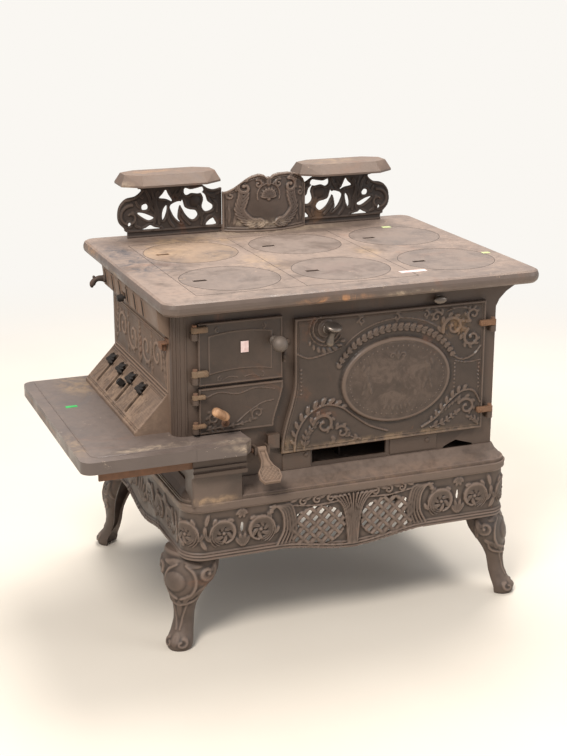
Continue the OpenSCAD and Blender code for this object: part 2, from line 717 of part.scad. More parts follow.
// Each opening: centre, radius, and where the circle that cuts it back lies and its radius
bracket_openings = [[196, 80, 9, 6, -6, 7], [190, 56, 13, -10, 8, 12], [185, 30, 15, 0, -10, 16],
    [150, 96, 19, -4, -10, 17], [150, 60, 20, -9, 2, 18], [112, 62, 18, 10, 6, 15],
    [88, 94, 17, 2, -8, 15], [84, 54, 22, 9, 9, 21], [38, 74, 24, 14, 4, 20], [30, 36, 14, 4, -6, 12]];
module bracket_holes(from) {
    translate([bracket_len - 5, 48]) circle(r = 6);
    translate([bracket_len - 18, 76]) circle(r = 3.5);
    for (h = bracket_openings) if (h[0] - h[2] > from) crescent(h[0], h[1], h[2], h[3], h[4], h[5]);
    if (from < 20) translate([34, 118]) circle(r = 15);
}
// The right-hand bracket is shorter by this much at the splash panel
bracket_cut = [0, 28];
module bracket(side) color(iron) {
    cut = bracket_cut[side < 0 ? 0 : 1];
    translate([splash_x + side * (splash_w / 2), 0, top_z]) mirror([side < 0 ? 1 : 0, 0, 0])
        upright(bracket_y + 2, bracket_y + 2 + bracket_t) difference() {
            translate([-cut, 0]) bracket_solid();
            translate([-cut, 0]) bracket_holes(cut + 12);
            translate([-100, -1]) square([100, 400]);
        }
}

module shelf_plan(w, d, cut_x, cut_y) polygon([
    [-w / 2 + cut_x, -d / 2], [w / 2 - cut_x, -d / 2], [w / 2, -d / 2 + cut_y], [w / 2, d / 2 - cut_y],
    [w / 2 - cut_x, d / 2], [-w / 2 + cut_x, d / 2], [-w / 2, d / 2 - cut_y], [-w / 2, -d / 2 + cut_y]]);
module warming_shelf(x) color(dusty) translate([x, shelf_y, shelf_z]) {
    linear_extrude(4) shelf_plan(shelf_w, shelf_d, 44, 32);
    hull() {
        translate([0, 0, 4]) linear_extrude(0.5) shelf_plan(shelf_w, shelf_d, 44, 32);
        translate([0, 0, shelf_t - 0.5]) linear_extrude(0.5) shelf_plan(shelf_w - 22, shelf_d - 44, 36, 22);
    }
}

// ---------- hearth ----------

module hearth_shelf() color(dusty) difference() {
    translate([0, 0, hearth_z - hearth_edge]) linear_extrude(hearth_edge) difference() {
        rounded(hearth_x0, hearth_y[0], body_x0 + 60, hearth_y[1], hearth_corner_r);
        translate([hearth_joint_x - 0.2, hearth_y[0] - 10]) square([300, front_y - hearth_y[0] + 10]);
        translate([body_x0, front_y - 1]) square([300, 1200]);
    }
    // hollow underside, open over the end wall
    slab(hearth_x0 + 8, hearth_y[0] + 8, hearth_z - hearth_edge - 1, hearth_joint_x + 10, front_y + 1,
         hearth_skin);
    slab(hearth_x0 + 8, front_y - 10, hearth_z - hearth_edge - 1, body_x0 + 1, hearth_y[1] - 8, hearth_skin);
}

module hearth_cover() color(dusty) difference() {
    translate([0, 0, hearth_z - hearth_edge]) linear_extrude(hearth_edge) polygon([
        [hearth_joint_x + 0.2, hearth_y[0]], [hearth_x1 - 18, hearth_y[0]], [hearth_x1, hearth_y[0] + 22],
        [hearth_x1 - 6, front_y], [hearth_joint_x + 0.2, front_y]]);
    slab(hearth_joint_x - 1, hearth_y[0] + 8, hearth_z - hearth_edge - 1, hearth_x1 - 28, front_y + 1,
         hearth_skin);
}

box_y = front_y - 55;
module hearth_box() color(iron) difference() {
    union() {
        slab(hearth_joint_x, box_y, seat_z, hearth_x1 - 8, front_y, hearth_skin);
        slab(hearth_joint_x, box_y - 6, seat_z + 4, hearth_x1 - 8, box_y, seat_z + 12);
        slab(hearth_joint_x, box_y - 4, seat_z + 18, hearth_x1 - 8, box_y, seat_z + 24);
    }
    slab(hearth_joint_x + wall_t, box_y + wall_t, seat_z + wall_t, hearth_x1 - 8 - wall_t, front_y + 1,
         hearth_skin + 1);
    // the hearth's edge band and the end of its cover hang down over the box
    slab(hearth_x1 - 28, box_y - 20, hearth_z - hearth_edge, hearth_x1, front_y + 1, hearth_skin + 1);
}

// A plain rib under the hearth, from the box towards the outer corner
module hearth_rib() color(rust)
    slab(hearth_x0 + 40, box_y + 4, hearth_skin - 46, hearth_joint_x, box_y + 10, hearth_skin);

// ---------- registers on the firebox end ----------

// Profiles on the sloped face, offset inwards by d
slope_dir = [slope_out, slope_top - hearth_z - slope_foot];
slope_len = norm(slope_dir);
slope_n = [slope_dir[1], -slope_dir[0]] / slope_len;   // points in and down
function on_slope(s, d) = [end_x - slope_out + slope_dir[0] * s, hearth_z + slope_foot + slope_dir[1] * s]
    + slope_n * d;
module draft_register() color(dusty) {
    difference() {
        union() {
            run(register_y[0], register_y[1]) polygon([
                [end_x, slope_top], on_slope(0, 0), [end_x - slope_out, hearth_z],
                [end_x - slope_out + 9, hearth_z], on_slope(0.08, register_t), on_slope(0.92, register_t),
                [end_x, slope_top - 11]]);
            for (y = [register_y[0], register_y[1] - wall_t]) run(y, y + wall_t)
                polygon([[end_x, slope_top - 2], on_slope(0, 1), [end_x - slope_out + 1, hearth_z],
                    [end_x, hearth_z]]);
        }
        for (y = draft_slots) slope_slot(y, 0.16, 0.86, slot_w);
        slope_slot(draft_knob_y + draft_travel / 2, 0.46, 0.56, draft_travel + 12);
    }
}
slope_angle = atan2(slope_dir[1], slope_dir[0]);
// A straight slot through the sloped face, between two shares of its length
module slope_slot(y, s0, s1, w) translate([end_x - slope_out, y, hearth_z + slope_foot])
    rotate([0, -slope_angle, 0])
    slab(slope_len * s0, -w / 2, -14, slope_len * s1, w / 2, 14);
draft_knob_y = draft_slots[1] - 60;

module slope_plate(y0, y1, s0, s1, d0, d1) run(y0, y1) polygon([
    on_slope(s0, d0), on_slope(s1, d0), on_slope(s1, d1), on_slope(s0, d1)]);
// Button on a stem, from its foot in the slide to its tip outside
module slide_knob(foot, tip, y) {
    v = (tip - foot) / norm(tip - foot);
    neck = tip - v * 13;
    brow = tip - v * 2;
    base = tip - v * 8;
    rod([foot[0], y, foot[1]], [base[0], y, base[1]], 3.5);
    rod([neck[0], y, neck[1]], [brow[0], y, brow[1]], 8);
    rod([base[0], y, base[1]], [tip[0], y, tip[1]], 6);
}
module draft_slide() color(iron) {
    d = register_t + fit;
    difference() {
        slope_plate(register_y[0] + 10, register_y[1] - 10 - draft_travel, 0.14, 0.88, d, d + slide_t);
        for (y = draft_slots) slope_slot(y, 0.2, 0.82, slot_w);
    }
    slide_knob(on_slope(0.51, d + 1), on_slope(0.51, -19), draft_knob_y);
}

check_d = wall_t + fit;
module check_slide() color(iron) {
    y0 = check_slots[5] - 24;
    y1 = end_y1 - wall_t - 4 - check_travel;
    difference() {
        run(y0, y1) polygon([on_cove(0.03, check_d), on_cove(0.95, check_d),
            on_cove(0.95, check_d + slide_t), on_cove(0.03, check_d + slide_t)]);
        for (y = check_slots) rounded_slot(y, cove_foot[1] + 6, rim_z - 8, check_slot_w - 2);
    }
    slide_knob(on_cove(check_knob_s, check_d + 1), on_cove(check_knob_s, -20), check_knob_y);
}

// Two brackets of an end rail that is no longer there
module rail_bracket_back() color(iron) {
    y = end_y1 - 14;
    p = on_cove(0.35, 0);
    difference() {
        slab(p[0] - 10, y - 8, p[1] - 6, p[0] + 20, y + 8, p[1] + 8);
        run(y - 20, y + 20) polygon([on_cove(-1, 0), on_cove(2, 0), on_cove(2, 60), on_cove(-1, 60)]);
    }
    rod([p[0] - 9, y, p[1]], [p[0] - 26, y, p[1] - 3], 6);
    translate([p[0] - 26, y, p[1] - 3]) sphere(r = 8);
    rod([p[0] - 27, y, p[1] - 3], [p[0] - 31, y, p[1] - 20], 4);
}
module rail_bracket_front() color(rust) {
    y = front_y + column_r + 14;
    z = apron_z - 9;
    slab(end_x - 14, y - 10, z - 3, end_x, y + 10, z);
    slab(end_x - 3, y - 10, z, end_x, y + 10, z + 8);
    slab(end_x - 17, y - 10, z - 13, end_x - 14, y + 10, z);
    rod([end_x - 7, y, z - 1], [end_x - 7, y, z - 18], 5);
}

// ---------- doors ----------

module door_knuckle(axis, z, h, to_x, y0) {
    difference() {
        union() {
            translate([axis[0], axis[1], z]) cylinder(r = knuckle_r, h = h);
            slab(min(axis[0], to_x), axis[1] - knuckle_r, z, max(axis[0], to_x), y0 + 1, z + h);
        }
        translate([axis[0], axis[1], z - 1]) cylinder(r = pin_r + pin_gap, h = h + 2);
    }
}

fire_front = door_y - door_t;
fire_knob_at = [fire_x[1] + 3 - 24, fire_z[0] + 85];
module fire_door() color(iron) difference() {
    union() {
        slab(fire_x[0], fire_front, fire_z[0], fire_x[1], door_y, fire_z[1]);
        slab(fire_x[0] + 16, fire_front - 3, fire_z[0] + 16, fire_x[1] - 16, fire_front, fire_z[1] - 16);
        for (z = fire_knuckles) door_knuckle(left_axis, z, knuckle_h, fire_x[0] + 14, fire_front);
    }
    translate([fire_knob_at[0], fire_front - 5, fire_knob_at[1]]) rotate([-90, 0, 0])
        cylinder(r = 4.05, h = 20);
}
module fire_door_knob() color(nickel) translate([fire_knob_at[0], fire_front - 3, fire_knob_at[1]]) {
    rotate([90, 0, 0]) cylinder(r = 9, h = 6);
    rotate([90, 0, 0]) cylinder(r = 5, h = 24);
    translate([0, -36, 0]) sphere(r = 17);
    rotate([-90, 0, 0]) cylinder(r = 4, h = 10);
}

module ash_door() color(iron) difference() {
    union() {
        steps = 16;
        edge = [for (i = [0:steps]) let (z = ash_z[0] + (ash_z[1] - ash_z[0]) * i / steps)
            [ash_door_edge(z), z]];
        upright(fire_front, door_y) polygon(concat([[fire_x[0], ash_z[1]], [fire_x[0], ash_z[0]]], edge));
        for (z = ash_knuckles) door_knuckle(left_axis, z, 10, fire_x[0] + 14, fire_front);
    }
    translate([ash_handle_at[0], fire_front - 5, ash_handle_at[1]]) rotate([-90, 0, 0])
        cylinder(r = 4.05, h = 20);
}
ash_handle_at = [fire_x[0] + 57, ash_z[0] + 20];
module ash_door_handle() color(wood) {
    p0 = [ash_handle_at[0], fire_front, ash_handle_at[1]];
    p1 = p0 + [0, -16, 0];
    p2 = p0 + [-4, -24, 20];
    grip = [-34, -20, 24];
    rod(p0 + [0, 8, 0], p1, 4);
    translate(p1) sphere(r = 6.5);
    rod(p1, p2 + grip * 0.2, 4.4);
    rod(p2, p2 + grip, 10);
}

pin_head = 4;
module hinge_pin(axis, z0, z1) translate([axis[0], axis[1], z0]) {
    cylinder(r = pin_r, h = z1 - z0);
    translate([0, 0, z1 - z0]) cylinder(r = pin_r + 2, h = pin_head);
}
module left_hinge_pins() color(rust) {
    for (z = fire_knuckles) hinge_pin(left_axis, z - knuckle_h, z + knuckle_h + fit);
    for (z = ash_knuckles) hinge_pin(left_axis, z - 10, z + 10 + fit);
}
module right_hinge_pins() color(rust)
    for (z = oven_knuckles) hinge_pin(right_axis, z - knuckle_h, z + knuckle_h + fit);

oven_front = door_y - oven_door_t;
medallion = [oven_x0 + oven_w / 2 + 14, oven_z + 125, 30, 92];  // centre, straight half-length, radius
module medallion_oval(r) {
    translate([medallion[0] - medallion[2], medallion[1] - r]) square([2 * medallion[2], 2 * r]);
    for (s = [-1, 1]) translate([medallion[0] + s * medallion[2], medallion[1]]) circle(r = r);
}
module oven_door() color(iron) difference() {
    union() {
        steps = 24;
        edge = [for (i = [0:steps]) let (z = oven_door_z[1] - (oven_door_z[1] - oven_door_z[0]) * i / steps)
            [oven_door_edge(z), z]];
        upright(oven_front, door_y)
            polygon(concat(edge, [[oven_door_x[1], oven_door_z[0]], [oven_door_x[1], oven_door_z[1]]]));
        upright(oven_front - 7, oven_front) medallion_oval(medallion[3]);
        upright(oven_front - 10, oven_front - 7) medallion_oval(medallion[3] - 12);
        for (z = oven_knuckles) door_knuckle(right_axis, z, knuckle_h, oven_door_x[1] - 16, oven_front);
    }
    translate([latch_at[0], oven_front - 5, latch_at[1]]) rotate([-90, 0, 0])
        cylinder(r = spindle_r + pin_gap, h = 30);
}

liner_gap = 8;
liner_t = 8;
module oven_door_liner() color(iron) difference() {
    slab(oven_x0 + liner_gap, door_y, oven_z + liner_gap, oven_x1 - liner_gap, door_y + liner_t,
         oven_top - liner_gap + 4);
    translate([latch_at[0], door_y - 5, latch_at[1]]) rotate([-90, 0, 0])
        cylinder(r = spindle_r + pin_gap, h = 30);
}

tongue_y = door_y + liner_t + fit;
tongue_len = latch_at[0] - oven_x0 + 3.5;    // turned sideways it lies behind the frame's edge
module oven_latch() color(nickel) translate([latch_at[0], 0, latch_at[1]]) {
    translate([0, oven_front - fit - 5, 0]) rotate([-90, 0, 0]) cylinder(r = 15, h = 5);
    translate([0, oven_front - 34, 0]) rotate([-90, 0, 0])
        cylinder(r = spindle_r, h = tongue_y + 6 - oven_front + 34);
    translate([0, oven_front - 34, 0]) sphere(r = 11);
    rod([0, oven_front - 34, 0], [0, oven_front - 40, -34], 6);
    translate([0, oven_front - 40, -34]) sphere(r = 9);
    slab(-7, tongue_y, -tongue_len, 7, tongue_y + 5, 8);
}

// ---------- pedal and damper ----------

pedal_slope = 36;                            // below level
pedal_len = 86;
pedal_w = 50;
pedal_t = 6;
pedal_mid = (pedal_x[0] + pedal_x[1]) / 2;
module foot_pedal() color(dusty) translate([pedal_mid, pedal_axis[0], pedal_axis[1]]) difference() {
    union() {
        neck = (pedal_x[1] - pedal_x[0]) / 2 - ear_t - fit;
        rotate([0, 90, 0]) translate([0, 0, -neck]) cylinder(r = knuckle_r, h = 2 * neck);
        rotate([pedal_slope, 0, 0]) translate([0, 0, -pedal_t / 2]) linear_extrude(pedal_t) {
            polygon([[-neck, 0], [-neck, -30], [-neck - 9, -44], [-pedal_w / 2, -58],
                [-pedal_w / 2, -pedal_len + 10],
                [-pedal_w / 2 + 10, -pedal_len], [pedal_w / 2 - 10, -pedal_len],
                    [pedal_w / 2, -pedal_len + 10],
                [neck + 9, -44], [neck, -30], [neck, 0]]);
        }
    }
    rotate([0, 90, 0]) cylinder(r = pin_r + pin_gap, h = 80, center = true);
}
module pedal_pin() color(rust) translate([pedal_x[0] - 2, pedal_axis[0], pedal_axis[1]]) rotate([0, 90, 0]) {
    cylinder(r = pin_r, h = pedal_x[1] - pedal_x[0] + 0.5);
    translate([0, 0, -3]) cylinder(r = pin_r + 2, h = 3);
}

damper_in = 8;                               // the plate stops this far short of the back wall
damper_len = 82;
damper_travel = 55;
upstand = 8;
damper_y1 = back_y - wall_t - damper_in;
damper_y0 = damper_y1 - damper_len;
oven_skin = oven_top + oven_t;
module damper_rod() color(nickel) translate([damper_at[0], 0, damper_at[1]]) {
    translate([0, front_y - 12, 0]) rotate([-90, 0, 0]) cylinder(r = damper_r, h = damper_y0 - front_y + 12);
    upright(front_y - 20, front_y - 12) union() {
        translate([-7, -9]) square([14, 18]);
        for (s = [-1, 1]) translate([s * 7, 0]) circle(r = 9);
    }
    translate([0, front_y - 3, 0]) rotate([-90, 0, 0]) cylinder(r = 7, h = 2.5);
}
module damper_plate() color(iron) {
    slab(damper_at[0] - 95, damper_y0, oven_skin + fit, oven_x1 - 10, damper_y1, oven_skin + fit + 4);
    slab(damper_at[0] - 9, damper_y0, oven_skin + fit + 4, damper_at[0] + 9, damper_y0 + upstand,
         damper_at[1] + 8);
}

// ---------- inside ----------

runner_z = [oven_z + 90, oven_z + 180];
module oven_box() color(iron) difference() {
    union() {
        difference() {
            slab(oven_x0 - oven_t, frame_back, oven_z - oven_t, oven_x1 + oven_t, oven_y1 + oven_t,
                 oven_skin);
            slab(oven_x0, frame_back - 1, oven_z, oven_x1, oven_y1, oven_top);
        }
        for (z = runner_z, x = [oven_x0, oven_x1 - 8])
            slab(x, frame_back + 30, z, x + 8, oven_y1 - 10, z + 5);
        // two strips that carry the oven on the base and part the flue under it
        for (x = [oven_x0 + 120, oven_x1 - 120])
            slab(x, frame_back + 60, body_foot_z, x + oven_t, oven_y1, oven_z - oven_t);
    }
    // the latch tongue turns into this notch
    slab(oven_x0 - oven_t - 1, frame_back - 1, latch_at[1] - tongue_len * 0.62,
         oven_x0 + 1, frame_back + 16, latch_at[1] + 11);
}

module oven_rack() color(iron) {
    y0 = frame_back + 40;
    y1 = oven_y1 - 30;
    z = runner_z[0] + 5 + 3;
    for (x = [oven_x0 + 3.5, oven_x1 - 3.5]) rod([x, y0, z], [x, y1, z], 3);
    for (i = [0:13]) let (y = y0 + (y1 - y0) * i / 13) rod([oven_x0 + 3.5, y, z], [oven_x1 - 3.5, y, z], 2.5);
}

fire_floor = ash_z[1] - 10;                  // top of the grate's ledge
lining_t = 22;
lining_top = plate_z - 26;
fire_in = [end_x + wall_t + 2, oven_x0 - oven_t - 0.4, frame_back + 0.4, end_y1 - wall_t - 0.4];
module firebox_back() color(iron) upright(end_y1 - wall_t, end_y1) polygon([
    [end_x + wall_t, hearth_z], [body_x0 + wall_t, hearth_z], [body_x0 + wall_t, body_foot_z],
    [oven_x0 - oven_t, body_foot_z], [oven_x0 - oven_t, wall_top], [end_x + wall_t, wall_top]]);

module firebox_linings() color([0.35, 0.30, 0.27]) {
    z0 = fire_floor + 10;
    difference() {
        upright(fire_in[2], fire_in[2] + lining_t) translate([column_x, z0])
            square([fire_in[1] - column_x, lining_top - z0]);
        slab(fire_x[0] + door_lap - 4, 2 * front_y, fire_z[0] + door_lap - 4, fire_x[1] - door_lap + 4, 0,
             fire_z[1] - door_lap + 4);
    }
    slab(fire_in[0], fire_in[3] - lining_t, z0, fire_in[1], fire_in[3], lining_top);
    for (x = [fire_in[0], fire_in[1] - lining_t])
        slab(x, fire_in[2] + lining_t + 0.5, z0, x + lining_t, fire_in[3] - lining_t - 0.5, lining_top - 24);
}

// Plan of the firebox between its walls, with the corner at the column cut off
module fire_plan() polygon([
    [end_x + wall_t, front_y + column_r], [column_x, frame_back], [oven_x0 - oven_t, frame_back],
    [oven_x0 - oven_t, end_y1 - wall_t], [end_x + wall_t, end_y1 - wall_t]]);

// One flat casting: a rim that carries the linings, slotted in the middle
module grate() color(iron) difference() {
    translate([0, 0, fire_floor]) linear_extrude(10) fire_plan();
    for (i = [0:8], s = [0, 1]) let (w = (fire_in[1] - fire_in[0]) / 2 - lining_t - 14)
        slab(fire_in[0] + lining_t + 8 + s * (w + 12), fire_in[2] + 42 + i * 40,
             fire_floor - 1, fire_in[0] + lining_t + 8 + s * (w + 12) + w, fire_in[2] + 60 + i * 40,
                 fire_floor + 11);
}

module ash_floor() color(iron)
    translate([0, 0, hearth_z]) linear_extrude(4) fire_plan();

pan = [fire_x[0] + 18, fire_x[0] + 143, frame_back + 12, 60, hearth_z + 4, 62];
module ash_pan() color(rust) difference() {
    slab(pan[0], pan[2], pan[4], pan[1], pan[3], pan[4] + pan[5]);
    slab(pan[0] + 2, pan[2] + 2, pan[4] + 2, pan[1] - 2, pan[3] - 2, pan[4] + pan[5] + 1);
}

// ---------- the part's frame ----------

// The origin lies on the floor under the middle of the whole stove's box
pedal_tip = pedal_axis[0] - pedal_len * cos(pedal_slope) - pedal_t / 2 * sin(pedal_slope);
middle = [(hearth_x0 + top_x1) / 2, (pedal_tip + flue_y1) / 2];
module place() translate([-middle[0], -middle[1], 0]) children();

place() base_plate();
place() skirt_front();
place() skirt_back();
place() skirt_left();
place() skirt_right();
place() leg(0);  // leg_front_left
place() leg(1);  // leg_front_right
place() leg(2);  // leg_back_left
place() leg(3);  // leg_back_right
place() leg_bolts();
place() front_frame();
place() left_side_panel();
place() firebox_end();
place() right_side_panel();
place() back_panel();
place() flue_box();
place() cook_top();
place() firebox_cover();
place() middle_cover();
place() lid(0, 0);  // lid_front_left
place() lid(1, 0);  // lid_front_middle
place() lid(2, 0);  // lid_front_right
place() lid(0, 1);  // lid_back_left
place() lid(1, 1);  // lid_back_middle
place() lid(2, 1);  // lid_back_right
place() pipe_collar();
place() splash_panel();
place() bracket(-1);  // bracket_left
place() bracket(1);  // bracket_right
place() warming_shelf(shelf_x[0]);  // warming_shelf_left
place() warming_shelf(shelf_x[1]);  // warming_shelf_right
place() hearth_shelf();
place() hearth_cover();
place() hearth_box();
place() hearth_rib();
place() draft_register();
place() draft_slide();
place() check_slide();
place() rail_bracket_back();
place() rail_bracket_front();
place() fire_door();
place() fire_door_knob();
place() ash_door();
place() ash_door_handle();
place() left_hinge_pins();
place() oven_door();
place() oven_door_liner();
place() oven_latch();
place() right_hinge_pins();
place() foot_pedal();
place() pedal_pin();
place() damper_rod();
place() damper_plate();
place() oven_box();
place() oven_rack();
place() firebox_back();
place() firebox_linings();
place() grate();
place() ash_floor();
place() ash_pan();
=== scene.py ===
import bpy
import bmesh
import itertools
import math
import numpy as np
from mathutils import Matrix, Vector


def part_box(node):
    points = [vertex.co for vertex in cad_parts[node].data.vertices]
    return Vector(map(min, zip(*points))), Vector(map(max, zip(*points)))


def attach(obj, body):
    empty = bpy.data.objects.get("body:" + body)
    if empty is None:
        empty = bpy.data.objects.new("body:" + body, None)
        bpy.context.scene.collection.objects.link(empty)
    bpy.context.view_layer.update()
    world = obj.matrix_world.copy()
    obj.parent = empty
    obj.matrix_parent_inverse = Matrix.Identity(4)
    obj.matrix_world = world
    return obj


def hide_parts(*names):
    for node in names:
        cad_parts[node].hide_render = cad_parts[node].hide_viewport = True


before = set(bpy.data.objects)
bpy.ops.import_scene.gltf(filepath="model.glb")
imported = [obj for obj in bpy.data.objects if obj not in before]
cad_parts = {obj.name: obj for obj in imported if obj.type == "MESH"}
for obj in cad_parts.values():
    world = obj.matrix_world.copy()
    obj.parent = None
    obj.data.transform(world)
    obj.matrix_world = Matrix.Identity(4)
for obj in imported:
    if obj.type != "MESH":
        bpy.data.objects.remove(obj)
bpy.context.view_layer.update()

# ---------------------------------------------------------------- places, in millimetres
# The stove's own axes: x = 0 and y = 0 under the middle of the cook top. P() gives the shared frame.
top_lo, top_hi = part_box("cook_top")
SHIFT_X = (top_lo.x + top_hi.x) / 2
SHIFT_Y = top_lo.y + 0.345


def P(x, y, z):
    return (SHIFT_X + x / 1000, SHIFT_Y + y / 1000, z / 1000)


def mm(node):
    """A CAD node's corners in the stove's own millimetres: x0, y0, z0, x1, y1, z1."""
    lo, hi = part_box(node)
    return [(lo.x - SHIFT_X) * 1000, (lo.y - SHIFT_Y) * 1000, lo.z * 1000,
            (hi.x - SHIFT_X) * 1000, (hi.y - SHIFT_Y) * 1000, hi.z * 1000]


TOP = mm("cook_top")
LEG_H = mm("leg_front_left")[5]
SKIRT = mm("skirt_front")
HEARTH = mm("hearth_shelf")
FRONT_Y = mm("left_side_panel")[1] - 6       # front face of the front frame's plate


# ---------------------------------------------------------------- curves
def smooth_path(points, n=12):
    """A Catmull-Rom curve through the points."""
    p = np.array(points, float)
    p = np.vstack([2 * p[0] - p[1], p, 2 * p[-1] - p[-2]])
    out = []
    for i in range(1, len(p) - 2):
        for k in range(n):
            t = k / n
            out.append(0.5 * ((2 * p[i]) + (-p[i - 1] + p[i + 1]) * t
                              + (2 * p[i - 1] - 5 * p[i] + 4 * p[i + 1] - p[i + 2]) * t * t
                              + (-p[i - 1] + 3 * p[i] - 3 * p[i + 1] + p[i + 2]) * t ** 3))
    out.append(p[-2])
    return np.array(out)


def spiral_path(cx, cy, r0, r1, a0, turn, n=34):
    """A spiral from radius r0 to r1, starting at angle a0 and turning by turn degrees."""
    t = np.linspace(0, 1, n)
    a = np.radians(a0 + turn * t)
    r = r0 + (r1 - r0) * t ** 0.85
    return np.stack([cx + r * np.cos(a), cy + r * np.sin(a)], 1)


class Relief:
    """A height field over a flat grid, in millimetres, with a field that says where metal is."""

    def __init__(self, u0, u1, v0, v1, step):
        nu, nv = int(round((u1 - u0) / step)) + 1, int(round((v1 - v0) / step)) + 1
        self.u, self.v = np.linspace(u0, u1, nu), np.linspace(v0, v1, nv)
        self.U, self.V = np.meshgrid(self.u, self.v)
        self.h = np.zeros_like(self.U)
        self.open = np.full_like(self.U, -1e3)   # distance inside a stroke, where the ground is cut away
        self.ground = np.full_like(self.U, 1e3)  # distance inside the outline

    def stroke(self, path, w0, w1=None, height=3.0, vein=0.0, swell=0.0, power=0.5):
        """A rounded ridge along a path. Its half-width goes from w0 to w1, and swell widens its middle."""
        p = np.array(path, float)
        n = len(p)
        w1 = w0 if w1 is None else w1
        t = np.linspace(0, 1, n)
        w = w0 + (w1 - w0) * t + swell * np.sin(np.pi * t)
        m = w.max() + 2.5
        iu = np.where((self.u >= p[:, 0].min() - m) & (self.u <= p[:, 0].max() + m))[0]
        iv = np.where((self.v >= p[:, 1].min() - m) & (self.v <= p[:, 1].max() + m))[0]
        if len(iu) < 2 or len(iv) < 2:
            return
        win = np.s_[iv[0]:iv[-1] + 1, iu[0]:iu[-1] + 1]
        X, Y = self.U[win], self.V[win]
        best = np.full(X.shape, -1e3)
        dd = np.full(X.shape, 1e3)
        ww = np.ones(X.shape)
        for i in range(n - 1):
            a, b = p[i], p[i + 1]
            ab = b - a
            L = ab @ ab + 1e-9
            s = np.clip(((X - a[0]) * ab[0] + (Y - a[1]) * ab[1]) / L, 0, 1)
            d = np.hypot(X - a[0] - s * ab[0], Y - a[1] - s * ab[1])
            r = w[i] + (w[i + 1] - w[i]) * s
            g = r - d
            take = g > best
            best = np.where(take, g, best)
            dd = np.where(take, d, dd)
            ww = np.where(take, r, ww)
        q = np.clip(1 - (dd / np.maximum(ww, 0.1)) ** 2, 0, 1)
        scale = np.clip(ww / max(w.max() * 0.7, 0.1), 0.25, 1)
        h = height * scale * q ** power
        if vein:
            h = h - vein * height * np.exp(-(dd / (0.22 * ww + 0.2)) ** 2) * (q > 0)
        self.h[win] = np.maximum(self.h[win], h)
        self.open[win] = np.maximum(self.open[win], best)

    def leaf(self, x, y, angle, length, width, bend=0.0, height=3.0, vein=0.35):
        """A pointed leaf from its root, bending by bend degrees towards its tip."""
        t = np.linspace(0, 1, 9)
        a = np.radians(angle + bend * t)
        step = length / 8
        xs = x + np.concatenate([[0], np.cumsum(np.cos(a[:-1]) * step)])
        ys = y + np.concatenate([[0], np.cumsum(np.sin(a[:-1]) * step)])
        self.stroke(np.stack([xs, ys], 1), width * 0.35, 0.5, height, vein=vein, swell=width * 0.62, power=0.6)

    def dot(self, x, y, r, height=3.0):
        self.stroke([(x, y), (x + 0.01, y)], r, r, height)

    def inside(self, u0, u1, v0, v1):
        """Distance inside a rectangle."""
        return np.minimum(np.minimum(self.U - u0, u1 - self.U), np.minimum(self.V - v0, v1 - self.V))

    def beads(self, dist, rows):
        """Rounded lines at given distances from an edge: (middle, half-width, height)."""
        for c, w, h in rows:
            self.h = np.maximum(self.h, h * np.sqrt(np.clip(1 - ((dist - c) / w) ** 2, 0, 1)))

    def scroll(self, cx, cy, r, a0, turn, w=5.0, height=4.0, leaves=0, leaf_len=16, leaf_w=5, side=1):
        """A spiral scroll with leaves on its outer side and a bud at its eye."""
        path = spiral_path(cx, cy, r, r * 0.22, a0, turn)
        self.stroke(path, w, w * 0.55, height, vein=0.25)
        self.dot(*path[-1], w * 0.95, height * 1.1)
        s = 1 if turn > 0 else -1
        for k in range(leaves):
            i = int(k / max(leaves, 1) * len(path) * 0.62)
            d = path[i + 1] - path[i]
            ang = math.degrees(math.atan2(d[1], d[0])) - s * side * 58
            f = 1 - 0.45 * k / max(leaves, 1)
            self.leaf(*path[i], ang, leaf_len * f, leaf_w * f, s * side * 50, height * 0.85)

    def acanthus(self, points, n, length, width, height=3.5):
        """A stem with n pairs of leaves, which get smaller towards its tip."""
        path = smooth_path(points, 10)
        self.stroke(path, 2.2, 1.1, height)
        for k in range(n):
            f = (k + 0.5) / n
            i = min(int(f * (len(path) - 1)), len(path) - 2)
            d = path[i + 1] - path[i]
            ang = math.degrees(math.atan2(d[1], d[0]))
            s = 1 - 0.5 * f
            for side in (-1, 1):
                self.leaf(*path[i], ang + side * 48, length * s, width * s, -side * 36, height)
        d = path[-1] - path[-2]
        self.leaf(*path[-1], math.degrees(math.atan2(d[1], d[0])), length * 0.8, width * 0.8, 0, height)


def loop_distance(U, V, points, n=8):
    """Distance to a smooth closed curve through the points, positive inside it."""
    p = np.array(points, float)
    m = len(p)
    t = np.linspace(0, 1, n, endpoint=False)[:, None]
    curve = []
    for i in range(m):
        a, b, c, d = p[i - 1], p[i], p[(i + 1) % m], p[(i + 2) % m]
        curve.append(0.5 * (2 * b + (c - a) * t + (2 * a - 5 * b + 4 * c - d) * t ** 2
                            + (3 * b - a - 3 * c + d) * t ** 3))
    curve = np.vstack(curve)
    inside = np.zeros(U.shape, bool)
    best = np.full(U.shape, 1e3)
    for a, b in zip(curve, np.roll(curve, -1, 0)):
        ab = b - a
        k = np.clip(((U - a[0]) * ab[0] + (V - a[1]) * ab[1]) / (ab @ ab + 1e-9), 0, 1)
        best = np.minimum(best, np.hypot(U - a[0] - k * ab[0], V - a[1] - k * ab[1]))
        if a[1] != b[1]:
            inside ^= ((a[1] > V) != (b[1] > V)) & (U < a[0] + (V - a[1]) * ab[0] / ab[1])
    return np.where(inside, best, -best)


def blur(a, n, times):
    """A running mean over 2 n + 1 cells each way, repeated."""
    for _ in range(times):
        for axis in (0, 1):
            b = np.copy(a)
            for k in range(1, n + 1):
                b += np.roll(a, k, axis) + np.roll(a, -k, axis)
            a = b / (2 * n + 1)
    return a


